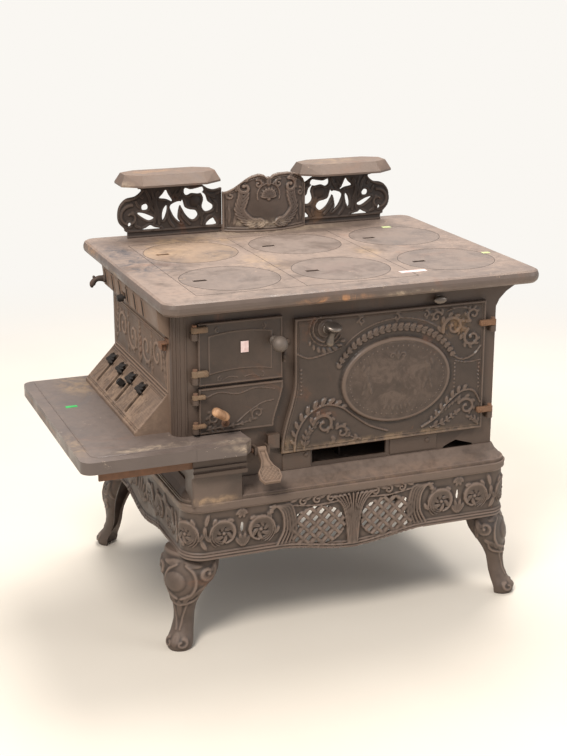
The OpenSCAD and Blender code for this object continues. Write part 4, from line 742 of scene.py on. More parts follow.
def leg(node, sx, sy):
    """A cabriole leg: smooth rings, with scrolls and leaves raised on the knee."""
    b = mm(node)
    fx = b[0] + 29 if sx < 0 else b[3] - 29
    fy = b[1] + 29 if sy < 0 else b[4] - 29
    rings = np.array(LEG_RINGS)
    nz = 104
    t = np.linspace(0, 1, nz)
    inset, ra, rb = (np.interp(t, rings[:, 0], rings[:, k]) for k in (1, 2, 3))
    for _ in range(6):
        for arr in (inset, ra, rb):
            arr[1:-1] = (arr[:-2] + 2 * arr[1:-1] + arr[2:]) / 4
    # relief over the outside: u runs across the knee, v up the leg
    R = Relief(-100, 100, 0, LEG_H, 1.6)
    R.dot(-sx * sy * 10, 148, 21, 5.2)
    for s in (-1, 1):
        R.scroll(s * 50, 170, 20, 90 - s * 40, -s * 430, 5.2, 4.2, leaves=5, leaf_len=15, leaf_w=6, side=-1)
        R.stroke(smooth_path([(s * 4, 112), (s * 22, 124), (s * 30, 146), (s * 24, 170), (s * 8, 184)]),
                 3.4, 2.4, 3.6)
        R.stroke(smooth_path([(s * 2, 98), (s * 30, 110), (s * 44, 132)]), 3.0, 2.2, 3.2)
        for k in range(4):
            R.leaf(s * (8 + 9 * k), 104 + 8 * k, 90 - s * (34 + 10 * k), 24, 6, s * 26, 3.4)
            R.leaf(s * (5 + 3 * k), 190 - 3 * k, 90 + s * (-96 + 8 * k), 26, 5.5, -s * 20, 3.2)
        R.leaf(s * 74, 140, 90 + s * 10, 40, 7, -s * 30, 3.2)
        R.stroke(smooth_path([(s * 3, 44), (s * 6, 74), (s * 14, 104)]), 2.2, 1.8, 2.2)
        R.stroke(spiral_path(s * 13, 17, 10, 4, 90, -s * 330), 2.8, 2.0, 3.0)
    R.leaf(0, 70, 90, 44, 6, 0, 2.6)
    R.leaf(0, 34, 270, 24, 9, 0, 2.4)
    R.h = np.maximum(R.h, 2.4 * np.clip((R.V - (LEG_H - 9)) / 4, 0, 1))
    # a hollow casting: the outside wraps 220 degrees, and the inside face follows it
    half = math.radians(112)
    no, ni = 92, 26
    d_out, d_in = np.linspace(-half, half, no), np.linspace(half, -half, ni)
    T, D = np.meshgrid(t, d_out, indexing="ij")
    uu = D / (math.pi / 2) * np.interp(T, t, rb) * 1.15
    iu = np.clip((uu - R.u[0]) / (R.u[1] - R.u[0]), 0, len(R.u) - 1.001)
    iv = np.clip(T * (len(R.v) - 1), 0, len(R.v) - 1.001)
    a0, b0 = iu.astype(int), iv.astype(int)
    fu, fv = iu - a0, iv - b0

    def sample(a):
        return ((a[b0, a0] * (1 - fu) + a[b0, a0 + 1] * fu) * (1 - fv)
                + (a[b0 + 1, a0] * (1 - fu) + a[b0 + 1, a0 + 1] * fu) * fv)

    def spread(T_, D_, H_, k):
        RA, RB, IN = (np.interp(T_, t, q) for q in (ra, rb, inset))
        u = IN + (RA + H_) * k * np.cos(D_ + math.pi)
        v = (RB + H_) * k * np.sin(D_ + math.pi)
        return np.stack([fx + 0.7071 * (-sx * u + sy * v), fy + 0.7071 * (-sy * u - sx * v), T_ * LEG_H], -1)

    H = sample(R.h) * 0.85 - 2.2 * np.clip((T - 0.5) / 0.3, 0, 1)
    outer = spread(T, D, H, 1.0)
    Ti, Di = np.meshgrid(t, d_in, indexing="ij")
    wall = np.interp(Ti, [0, 0.10, 0.24, 0.5, 0.9, 1], [-0.20, -0.10, 0.45, 0.70, 0.78, 0.30])
    inner = spread(Ti, Di, 0.0, wall)
    pts = np.concatenate([outer, inner], 1).reshape(-1, 3)
    na = no + ni
    C = np.zeros((nz, na))
    C[:, :no] = sample(R.h - blur(R.h, 3, 2))
    f = [(i * na + k, i * na + (k + 1) % na, (i + 1) * na + (k + 1) % na, (i + 1) * na + k)
         for i in range(nz - 1) for k in range(na)]
    f += [tuple(reversed(range(na))), tuple((nz - 1) * na + k for k in range(na))]
    Mesh().add(pts, f, C.reshape(-1)).make(node + "_cast", m_base, nodes=[node], slot="dusty_iron", angle=50)


# ---------------------------------------------------------------- doors
FD = mm("fire_door")
AD = mm("ash_door")
OD = mm("oven_door")
DOOR_BACK = FD[4]
FIRE_FRONT = DOOR_BACK - 8                   # faces of the doors
OVEN_FRONT = DOOR_BACK - 10
liner = mm("oven_door_liner")
OVEN_X0, OVEN_X1 = liner[0] - 8, liner[3] + 8          # the field that the oven door's ornament fills
OVEN_Z0, OVEN_Z1 = liner[2] - 8, liner[5] + 4
LATCH = (OVEN_X0 + 56, OVEN_Z1 - 12)         # x and z of the latch's spindle


def pin_axis(node):
    b = mm(node)
    return (b[0] + b[3]) / 2, (b[1] + b[4]) / 2


AXIS_L, AXIS_R = pin_axis("left_hinge_pins"), pin_axis("right_hinge_pins")
KN = 7.0                                     # radius of a hinge knuckle
FIRE_KN = [FD[5] - 19, FD[2] + 21]           # feet of the knuckles
ASH_KN = [AD[5] - 21, AD[2] + 15]
OVEN_KN = [OVEN_Z1 - 43, OVEN_Z0 + 25]


def knuckles(name, axis_x, axis_y, zs, h, to_x, face_y, body):
    """Hinge knuckles with their straps, which ride on a door."""
    M = Mesh()
    for z in zs:
        M.turned((axis_x, axis_y, z), (0, 0, 1), [(0, 5.6), (1.2, KN), (h - 1.2, KN), (h, 5.6)], 28)
        M.block(min(axis_x, to_x), axis_y - KN + 0.2, z + 0.6, max(axis_x, to_x), face_y + 1.5, z + h - 0.6, 2.2)
        rivet = ((axis_x + 3 * to_x) / 4, axis_y - KN + 0.4, z + h / 2)
        M.turned(rivet, (0, -1, 0), [(0, 3.4), (1, 3), (1.8, 1)], 14)
    M.make(name, m_hinge2 if body == "oven_door" else m_hinge, body, slot="rusty_iron")


def facing_front(y):
    """The place of a relief on a door whose face is at y."""
    return lambda u, v, h: (u, y - h, v)


def oven_edge(z):
    """The oven door's left edge, which slants outwards at its foot."""
    t = np.clip((OD[2] + 160 - z) / 150, 0, 1)
    return OD[0] + 30 - 30 * t * t * (3 - 2 * t)


def oven_door():
    x1, z0, z1, step = AXIS_R[0] - 17, OD[2], OD[5], 1.75
    R = Relief(OD[0], x1, z0, z1, step)
    d = R.inside(oven_edge(R.V), x1, z0, z1)
    R.ground = d + 0.01
    # middle and half sizes of the medallion
    mx, mz, ra, rb = (OVEN_X0 + OVEN_X1) / 2 + 10, OVEN_Z0 + 126, 131.0, 96.0

    def arc(cx, cz, a, b, a0, a1, n=40):
        q = np.radians(np.linspace(a0, a1, n))
        return np.stack([cx + a * np.cos(q), cz + b * np.sin(q)], 1)

    def fringe(pts, every, ln, w, turn, h=3.4, bend=34, both=False):
        """Leaves along a line, on one side or both."""
        for i in range(0, len(pts) - 1, every):
            d_ = pts[i + 1] - pts[i]
            a = math.degrees(math.atan2(d_[1], d_[0]))
            f = 0.72 + 0.28 * math.sin(math.pi * i / len(pts))
            R.leaf(*pts[i], a + turn, ln * f, w * f, -bend if turn > 0 else bend, h)
            if both:
                R.leaf(*pts[i], a - turn, ln * f * 0.8, w * f, bend if turn > 0 else -bend, h * 0.9)

    # swag of leaves over the medallion
    pa = arc(mx, mz - 6, ra + 16, rb + 26, 158, 22, 72)
    R.stroke(pa, 2.2, 2.2, 3.2)
    fringe(pa, 3, 17, 6.4, 40, 4.2, 30, both=True)
    R.stroke(arc(mx, mz, ra + 26, rb + 40, 140, 40, 50), 1.5, 1.5, 2.0)
    # rings round the latch, with leaves that run into the swag
    lx, lz = LATCH
    for r, w in ((30, 2.0), (38, 1.6)):
        R.stroke(arc(lx, lz, r, r, 120, 330), w, w, 2.6)
    fringe(arc(lx, lz, 44, 44, 215, 320, 30), 4, 16, 5.6, -60, 3.0)
    R.stroke(smooth_path([(OD[0] + 34, lz - 50), (lx - 40, lz - 62), (lx, lz - 56), (lx + 34, lz - 46)]),
             2.0, 1.6, 2.6)
    # leafy scrolls: four in the upper right corner, one in the lower right and two in the lower left
    for scroll in ((238, 650, 27, 200, -420, 5.0, 4.4, 7, 22, 7), (284, 622, 22, 120, 400, 4.6, 4.2, 6, 19, 6.5),
                   (286, 674, 16, 240, -380, 4.0, 3.8, 5, 16, 5.6), (196, 676, 13, 20, 360, 3.4, 3.4, 4, 14, 5),
                   (276, 462, 22, 150, -400, 4.0, 3.8, 5, 17, 6), (-66, 462, 26, 170, -420, 4.6, 4.2, 6, 18, 6.6),
                   (-24, 440, 16, 140, -360, 3.6, 3.6, 4, 14, 5)):
        R.scroll(*scroll)
    R.stroke(smooth_path([(236, 586), (262, 574), (290, 582), (306, 600)]), 2.2, 1.6, 2.8)
    R.stroke(arc(250, 640, 62, 52, 60, 118, 24), 2.0, 1.6, 2.4)
    for cx in (20, 100, 170):
        R.scroll(cx, 684, 9, 90, 330 if cx < 60 else -330, 2.6, 2.6, 3, 11, 4)
    # side panels with dotted edges
    for k in range(7):
        R.dot(244, 566 - 9 * k, 2.6, 2.6)
        R.dot(304, 560 - 9 * k, 2.6, 2.6)
        R.dot(OD[0] + 44, 590 - 9 * k, 2.4, 2.4)
    R.stroke(smooth_path([(244, 572), (272, 566), (306, 568)]), 1.5, 1.5, 2.0)
    # lower right: a crested panel with a curling branch
    pr = smooth_path([(168, 428), (200, 446), (230, 478), (262, 500), (292, 498), (310, 470)])
    R.stroke(pr, 2.8, 2.2, 3.6)
    fringe(pr[8:44], 5, 19, 6.4, 58, 4.0)
    R.acanthus([(190, 424), (226, 436), (252, 452)], 5, 17, 5.6, 3.2)
    R.acanthus([(306, 418), (300, 430), (286, 436)], 3, 15, 5, 3.0)
    for k in range(9):
        R.leaf(196 + 8 * k, 446 + 5.5 * k, 236, 11, 4.4, 0, 2.6)
    # lower left: the same, larger, following the slanted edge
    pl = smooth_path([(-134, 412), (-128, 452), (-104, 488), (-66, 506), (-28, 498), (4, 474), (40, 448), (84, 430)])
    R.stroke(pl, 3.0, 2.2, 3.8)
    fringe(pl[4:52], 5, 23, 7.4, 56, 4.4)
    R.acanthus([(-112, 414), (-106, 444), (-88, 462)], 5, 18, 6, 3.4)
    R.acanthus([(20, 420), (-6, 430), (-16, 450)], 3, 14, 5, 3.0)
    for k in range(6):
        R.leaf(-50 + 2 * k, 416 + 0.5 * k, 50 + 14 * k, 20, 5, 0, 2.6)
    # border
    R.beads(d, ((3.0, 2.4, 2.2), (8.6, 1.5, 1.5)))
    # medallion: a crowned ground inside a double rim, with a flat ornament of its own
    e = np.sqrt(((R.U - mx) / ra) ** 2 + ((R.V - mz) / rb) ** 2)
    rr = (1 - e) * (ra + rb) / 2
    m = 7.0 * np.sqrt(np.clip(1 - ((7 - np.minimum(rr, 7)) / 7) ** 2, 0, 1)) + 3.4 * np.clip(1 - e ** 2, 0, 1) - 1.0
    for c, w, h in ((6.0, 4.6, 1.2), (13, 1.2, 0.9)):
        m = m + h * np.sqrt(np.clip(1 - ((rr - c) / w) ** 2, 0, 1))
    field = Relief(OD[0], x1, z0, z1, step)
    pearls = 56
    for k in range(pearls):
        a = 2 * math.pi * k / pearls
        field.dot(mx + (ra - 19.5) * math.cos(a), mz + (rb - 19.5) * math.sin(a), 2.0, 1.8)
    for s in (-1, 1):
        for k in range(5):
            z = mz - 26 + 13 * k
            field.leaf(mx + s * (60 + 6 * k), z, 90 - s * (20 - 8 * k), 20, 5, s * 16, 1.6)
            field.leaf(mx + s * (84 - 3 * k), z, 90 + s * 30, 15, 4, -s * 16, 1.4)
        field.scroll(mx + s * 13, mz + 55, 8, 90 + s * 90, -s * 330, 2.4, 1.6)
    field.leaf(mx, mz + 48, 90, 18, 6, 0, 1.8)
    for k in range(-3, 4):
        field.leaf(mx + k * 9, mz - 58 + 1.5 * abs(k), 270 + k * 9, 12, 4, 0, 1.4)
    R.h = np.where(e < 1, np.maximum(m, 0), R.h) + np.where(e < 1, field.h, 0)

    M = Mesh().plate(R, facing_front(OVEN_FRONT), DOOR_BACK - OVEN_FRONT, back="flat")
    knuckles("oven_door_hinges", AXIS_R[0], AXIS_R[1], OVEN_KN, 14, x1 - 16, OVEN_FRONT, "oven_door")
    # rosette plate behind the latch
    M.turned((lx, OVEN_FRONT + 1, lz), (0, -1, 0), [(0, 20), (2.5, 20), (4.4, 17), (4.8, 15), (7, 13), (7.4, 7)], 30)
    M.make("oven_door_cast", m_door, "oven_door", ["oven_door"], "black_iron")


def firebox_door():
    x0, x1, z0, z1 = AXIS_L[0] + 8, FD[3], FD[2], FD[5]
    R = Relief(x0, x1, z0, z1, 1.6)
    d = R.inside(x0, x1, z0, z1)
    R.ground = d + 0.01
    # a faint field with a raised line round it, arched at its top and its foot
    cx = (x0 + x1) / 2
    bow = 13 * (1 - ((R.U - cx) / (x1 - x0) * 2) ** 2)
    q = R.inside(x0 + 22, x1 - 24, z0 + 17 + bow, z1 - 34 + bow)
    R.h = 1.0 * np.clip((q + 1) / 4, 0, 1)
    R.beads(q, ((1.5, 2.0, 1.9),))
    R.beads(d, ((2.5, 2.3, 1.6),))
    for s in (-1, 1):
        R.scroll(cx + s * 46, z0 + 12, 7, 90, -s * 300, 1.6, 1.6)
        R.scroll(cx + s * 50, z1 - 15, 7, 270, s * 300, 1.6, 1.6)
        R.stroke(smooth_path([(cx + s * 8, z0 + 12), (cx + s * 26, z0 + 15), (cx + s * 42, z0 + 8)]), 1.4, 1.0, 1.5)

    M = Mesh().plate(R, facing_front(FIRE_FRONT), DOOR_BACK - FIRE_FRONT, back="flat")
    knuckles("fire_door_hinges", AXIS_L[0], AXIS_L[1], FIRE_KN, 14, x0 + 20, FIRE_FRONT, "fire_door")
    M.make("fire_door_cast", m_door, "fire_door", ["fire_door"], "black_iron")


def ash_edge(z):
    """The ash door's right edge, which slants inwards at its foot."""
    t = np.clip((AD[5] - 4 - z) / 96, 0, 1)
    return AD[3] - 22 * t * t * (3 - 2 * t)


def ash_door():
    x0, z0, z1 = AXIS_L[0] + 8, AD[2], AD[5]
    R = Relief(x0, AD[3], z0, z1, 1.6)
    d = R.inside(x0, ash_edge(R.V), z0, z1)
    R.ground = d + 0.01
    R.beads(d, ((2.4, 2.2, 1.6),))
    R.scroll(-312, 505, 15, 60, 380, 2.8, 2.4, 5, 14, 5)
    R.acanthus([(-330, 482), (-306, 484), (-262, 486), (-226, 494)], 6, 12, 4.4, 2.2)
    R.scroll(-216, 506, 15, 230, -380, 2.6, 2.2, 4, 12, 4.4)
    R.stroke(smooth_path([(-262, 492), (-236, 512), (-206, 528), (-180, 532)]), 1.6, 1.2, 1.8)
    R.stroke(smooth_path([(-332, 552), (-300, 561), (-260, 554), (-220, 563), (-178, 556)]), 1.5, 1.2, 1.6)

    M = Mesh().plate(R, facing_front(FIRE_FRONT), DOOR_BACK - FIRE_FRONT, back="flat")
    knuckles("ash_door_hinges", AXIS_L[0], AXIS_L[1], ASH_KN, 10, x0 + 14, FIRE_FRONT, "ash_door")
    M.make("ash_door_cast", m_door, "ash_door", ["ash_door"], "black_iron")


front_skirt()
side_skirt("skirt_left", -1)
side_skirt("skirt_right", 1)
leg("leg_front_left", -1, -1)
leg("leg_front_right", 1, -1)
leg("leg_back_left", -1, 1)
leg("leg_back_right", 1, 1)
oven_door()
firebox_door()
ash_door()


# ---------------------------------------------------------------- knobs and handles
def knobs():
    k = mm("fire_door_knob")
    x, z = (k[0] + k[3]) / 2, (k[2] + k[5]) / 2
    prof = [(-6, 4), (0, 4), (0.5, 9), (3, 9.6), (6, 8), (8, 5.5), (14, 5.2), (20, 6.5)]
    prof += [(20 + 34 * (1 - math.cos(a)) / 2, max(17 * math.sin(a), 6.5 if a < 0.5 else 0.3))
             for a in np.linspace(0.36, math.pi, 18)]
    Mesh().turned((x, FIRE_FRONT - 2, z), (0, -1, 0), prof, 36).make(
        "fire_door_knob_turned", m_dullnickel, "fire_door", ["fire_door_knob"], "worn_nickel", 60)
    # latch: a spool on the spindle, a hanging thumb-piece, and the tongue behind the front
    lx, lz = LATCH
    y = OVEN_FRONT
    M = Mesh()
    M.turned((lx, DOOR_BACK + 14.0, lz), (0, -1, 0),
             [(0, 5), (24, 5), (29, 5), (29.4, 10), (32, 10.6), (34, 8), (40, 6.4)], 28)
    # the thumb-piece hangs from the spindle: a wide cap over a waisted stem
    ax = np.array([0.10, -0.30, 1.0])
    ax /= np.linalg.norm(ax)
    foot = np.array([lx - 3.0, y - 21.0, lz - 33.0])
    M.turned(foot, ax, [(0, 1), (1.2, 6), (4, 9.4), (9, 10.0), (14, 8.6), (22, 7.2), (32, 7.6), (38, 10), (42, 15),
                        (44, 18.2), (47, 19), (49.5, 18.2), (51.5, 14), (52.5, 7), (52.8, 0.5)], 40)
    M.tube([(lx, y - 10, lz), (lx, y - 19, lz), (lx - 0.5, y - 25, lz - 2)], [6.4, 6.4, 4.5], 22)
    M.block(lx - 7, DOOR_BACK + 8.3, lz - 59, lx + 7, DOOR_BACK + 13.3, lz + 8, 0.8)
    M.make("oven_latch_cast", m_nickel, "oven_latch", ["oven_latch"], "worn_nickel", 50)
    # ash door handle: a bent iron stem with a worn turned grip
    px, pz = AXIS_L[0] + 8 + 57, AD[2] + 20
    py = FIRE_FRONT
    stem = smooth_path([(px, py + 6, pz), (px, py - 6, pz), (px, py - 14, pz + 2), (px - 3, py - 21, pz + 12),
                        (px - 6, py - 26, pz + 24)], 8)
    M = Mesh().tube(stem, 4.0, 14)
    M.turned((px, py + 0.5, pz), (0, -1, 0), [(0, 9), (2.5, 9), (3.5, 6), (4, 4)], 24)
    M.make("ash_handle_stem", m_rust, "ash_door", (), "rusty_iron")
    a = np.array([px - 4, py - 24, pz + 20.0])
    d = np.array([-34, -20, 24.0])
    L = float(np.linalg.norm(d))
    prof = [(0, 6.5), (1.5, 8.2), (6, 9.3), (14, 9.9), (24, 9.6), (34, 9.9), (L - 5, 9.4), (L - 2, 8.4), (L, 5.5)]
    Mesh().turned(a, d, prof, 30).make("ash_handle_grip", m_wood, "ash_door", ["ash_door_handle"], "worn_wood", 60)
    # damper knob
    b = mm("damper_rod")
    cx, cz = (b[0] + b[3]) / 2, (b[2] + b[5]) / 2
    M = Mesh()
    M.turned((cx, b[4], cz), (0, -1, 0), [(0, 4), (b[4] - b[1] - 12, 4)], 20)
    n = 40
    a_ = np.arange(n) * 2 * math.pi / n
    prof = [(0, 0.55), (2, 0.85), (5, 1.0), (8, 0.97), (10.5, 0.8), (12, 0.3)]
    rings = [np.stack([cx + 16 * q * np.cos(a_), np.full(n, b[1] + 12 - p), cz + 9 * q * np.sin(a_)], 1)
             for p, q in prof]
    f = [(i * n + k, i * n + (k + 1) % n, (i + 1) * n + (k + 1) % n, (i + 1) * n + k)
         for i in range(len(prof) - 1) for k in range(n)]
    f += [tuple(range(n)), tuple((len(prof) - 1) * n + k for k in range(n))]
    M.add(np.vstack(rings), f)
    M.turned((cx, FRONT_Y - 0.5, cz), (0, -1, 0), [(0, 7), (1.6, 7), (2.2, 5)], 24)
    M.make("damper_rod_turned", m_nickel, "oven_damper", ["damper_rod"], "worn_nickel", 60)


def pedal():
    b = mm("foot_pedal")
    px, ay = (b[0] + b[3]) / 2, b[4] - KN
    az = b[5] - KN
    slope = math.radians(36)
    ca, sa = math.cos(slope), math.sin(slope)
    half = (b[3] - b[0]) / 2
    reach = (ay - b[1] - 2.2) / ca
    R = Relief(-half - 1, half + 1, -reach, -6, 1.1)
    w = np.interp(-R.V, [0, 30, 44, 56, reach - 12, reach], [10.2, 10.2, 15, half - 1, half, half - 8])
    R.ground = np.minimum(w - np.abs(R.U), R.V + reach - 0.01)
    d = R.ground
    a, c = (R.U + R.V) / 9.0, (R.U - R.V) / 9.0
    tread = np.minimum(np.abs(a % 1 - 0.5), np.abs(c % 1 - 0.5))
    on = (d > 5) & (R.V < -46)
    R.h = np.where(on, 0.4 + 1.6 * np.clip(tread * 3.2, 0, 1), 0)
    R.beads(d, ((2.4, 2.2, 2.6),))

    def place(u, v, h):
        n = 2.0 + h
        return px + u, ay + v * ca - n * sa, az + v * sa + n * ca

    M = Mesh().plate(R, place, 5, back="flat")
    M.turned((px - 10.4, ay, az), (1, 0, 0), [(0, 6), (0.8, 7), (20, 7), (20.8, 6)], 24)
    M.make("foot_pedal_cast", m_end, "foot_pedal", ["foot_pedal"], "dusty_iron")


knobs()
pedal()


# ---------------------------------------------------------------- back: splash and brackets
def splash():
    b = mm("splash_panel")
    cx, w, z0, z1 = (b[0] + b[3]) / 2, (b[3] - b[0]) / 2, b[2], b[5]
    rad = 180.0                              # radius of its bow in plan
    cy = b[1] + rad
    R = Relief(-w, w, z0, z1, 1.35)
    Z = R.V - z0
    # outline: two humps with a bud between, shoulders that fall to the brackets
    top = 110 + np.interp(R.U, [-w, -w + 10, -84, -70, -56, -42, -26, -12, -5, 0, 5, 12, 28, 50, 72, 90, 101, w],
                          [-14, -11, -3, 8, 19, 27, 31, 29, 21, 25, 21, 28, 31, 31, 28, 20, 8, -8])
    top = blur(top, 2, 1)
    R.ground = np.minimum(np.minimum(top - Z, Z + 0.01), w - np.abs(R.U) + 0.01)
    d = np.minimum(top - Z, w - np.abs(R.U))
    R.beads(d, ((3.2, 3.0, 3.0), (9, 1.6, 1.8)))
    R.beads(Z, ((3, 3, 3.0), (9, 2.2, 2.0)))

    def zz(z):
        return z0 + z

    # wreath of two leafy branches round a shell
    for s in (-1, 1):
        pts = smooth_path([(4 + s * 8, zz(20)), (s * 42, zz(24)), (s * 66, zz(48)), (s * 62, zz(84))], 12)
        R.stroke(pts, 1.8, 1.2, 2.4)
        for i in range(2, len(pts) - 1, 3):
            t = pts[i + 1] - pts[i]
            a = math.degrees(math.atan2(t[1], t[0]))
            R.leaf(*pts[i], a + 40, 24, 8.0, -30, 4.6)
            R.leaf(*pts[i], a - 40, 24, 8.0, 30, 4.6)
        R.scroll(s * 58, zz(108), 19, 90 + s * 10, -s * 400, 5.6, 5.0, leaves=5, leaf_len=15, leaf_w=5.5)
        R.scroll(s * 26, zz(116), 11, 90 - s * 20, s * 380, 3.6, 3.2, leaves=3, leaf_len=10, leaf_w=4)
        R.scroll(s * 90, zz(88), 11, 90, -s * 360, 3.4, 2.8)
        R.leaf(s * 94, zz(20), 90 + s * 4, 48, 6, -s * 10, 2.4)
        R.leaf(s * 84, zz(16), 90 + s * 16, 40, 5, -s * 10, 2.2)
    for k in range(9):
        a = 90 + (k - 4) * 21
        R.leaf(0, zz(84), a, 27 - 1.2 * abs(k - 4), 6.4, 0, 4.6)
    R.dot(0, zz(80), 6, 4)
    R.stroke(spiral_path(0, zz(88), 29, 29, 200, -220), 1.8, 1.8, 2.4)
    R.leaf(0, zz(112), 90, 20, 9, 0, 4)

    def place(u, v, h):
        a = np.arcsin(np.clip(u / rad, -1, 1))
        return cx + (rad + h) * np.sin(a), cy - (rad + h) * np.cos(a), v

    Mesh().plate(R, place, 5.5).make("splash_panel_cast", m_splash, nodes=["splash_panel"], slot="black_iron")


# x outwards from the splash panel, z up from the foot strip
BRACKET_OUTLINE = [(-30, 18), (-30, 106), (22, 104), (50, 118), (70, 124), (190, 124), (200, 110), (215, 99),
                   (238, 94), (254, 78), (259, 56), (256, 38), (244, 24), (236, 15), (180, 12), (60, 12)]
BRACKET_HOLES = [
    [(186, 66), (198, 66), (200, 76), (190, 80), (184, 74)],
    [(170, 44), (184, 40), (206, 54), (210, 60), (196, 58), (178, 50)],
    [(154, 18), (198, 18), (190, 23), (180, 28), (170, 23)],
    [(156, 92), (148, 101), (139, 111), (132, 98), (123, 82), (138, 88)],
    [(150, 52), (146, 66), (138, 74), (137, 62), (143, 44), (149, 38)],
    [(130, 70), (120, 78), (103, 80), (108, 60), (110, 40), (102, 28), (118, 42), (126, 56)],
    [(92, 112), (78, 108), (62, 110), (48, 112), (44, 102), (56, 96), (74, 98), (86, 94), (94, 100)],
    [(98, 84), (92, 66), (82, 60), (66, 56), (60, 44), (72, 34), (88, 44), (98, 60), (104, 74)],
    [(52, 100), (46, 84), (50, 64), (40, 52), (24, 56), (22, 66), (34, 76), (40, 92)],
    [(14, 19), (40, 19), (34, 29), (22, 35), (16, 27)],
]


def bracket(node, s):
    """Pierced leafwork between the foot strip and the shelf."""
    b = mm(node)
    origin = b[3] if s < 0 else b[0]
    cut = 0 if s < 0 else 28                 # the right bracket starts this much further out in the outline
    z0, z1 = b[2], b[5]
    zt = z1 - z0
    R = Relief(0, b[3] - b[0], 0, zt, 1.2)

    def loop(points):
        return loop_distance(R.U, R.V, [(x - cut, z) for x, z in points])

    def st(pts, w0, w1=None, h=3.0, **k):
        R.stroke([(x - cut, z) for x, z in smooth_path(pts, 9)], w0, w1, h, **k)

    def ball(x, z, r):
        return r - np.hypot(R.U - x + cut, R.V - z)

    d = loop(BRACKET_OUTLINE)
    for hole in BRACKET_HOLES:
        d = np.minimum(d, -loop(hole))
    d = np.minimum(d, -ball(231, 33, 4.5))
    d = np.maximum(d, ball(68, 79, 14))
    foot = np.minimum(18 - R.V, 236 - cut - R.U)
    shelf = np.minimum(R.V - (zt - 13), np.minimum(R.U - 52 + cut, 207 - cut - R.U))
    R.ground = np.maximum(d, np.maximum(foot, shelf))
    # rolled edges, plumes on the trunks, the outer volute and the ball
    st([tuple(p) for p in spiral_path(229, 50, 29, 6, 100, -400, 26)], 5.0, 3.0, 4.2)
    st([(240, 90), (226, 92), (208, 100), (196, 112)], 4.0, 3.4, 3.8)
    for pts in (((176, 18), (168, 40), (166, 70), (172, 98), (176, 114)),
                ((158, 30), (160, 56), (166, 84), (160, 112)),
                ((190, 112), (182, 96), (176, 70), (166, 56)),
                ((122, 20), (134, 40), (134, 80), (118, 100), (112, 114)), ((100, 112), (108, 96), (116, 84)),
                ((82, 24), (96, 40), (104, 52)), ((52, 22), (50, 36), (60, 66), (64, 70)),
                ((8, 96), (28, 90), (40, 98)), ((12, 50), (14, 70), (26, 84)), ((46, 20), (34, 38), (20, 44)),
                ((214, 86), (206, 74), (196, 88)), ((206, 24), (216, 30), (214, 46))):
        st(pts, 3.6, 1.6, 3.6, swell=1.6, vein=0.3)
    for x, z, a, ln in ((168, 50, 120, 20), (170, 74, 60, 20), (164, 96, 110, 18), (134, 56, 60, 16),
                        (118, 92, 140, 18), (92, 50, 200, 18), (56, 40, 130, 16), (30, 92, 200, 18),
                        (20, 62, 100, 16), (196, 94, 40, 16)):
        R.leaf(x - cut, z, a, ln, 7, 30, 3.6)
    R.dot(68 - cut, 79, 13.4, 4.6)
    R.dot(222 - cut, 58, 7, 4.0)
    q = np.clip((d - 3.2) / 3.2, -1, 1)
    R.h = np.maximum(R.h, np.where(d > 0, 2.4 * np.sqrt(1 - q ** 2), 0))
    R.h = np.where(d > 4, np.maximum(R.h, 1.0), R.h)
    R.open = np.full_like(R.U, -1e3)
    R.beads(R.V, ((2.5, 2.5, 2.2), (15.5, 2.4, 2.4)))
    R.beads(zt - R.V, ((3, 3, 3), (10, 2.4, 2.4)))
    y = b[1]

    def place(u, v, h):
        return origin + s * u, y - np.minimum(h, 4.6) + 1.5, v + z0

    Mesh().plate(R, place, 6).make(node + "_cast", m_black, nodes=[node], slot="black_iron")


splash()
bracket("bracket_left", -1)
bracket("bracket_right", 1)


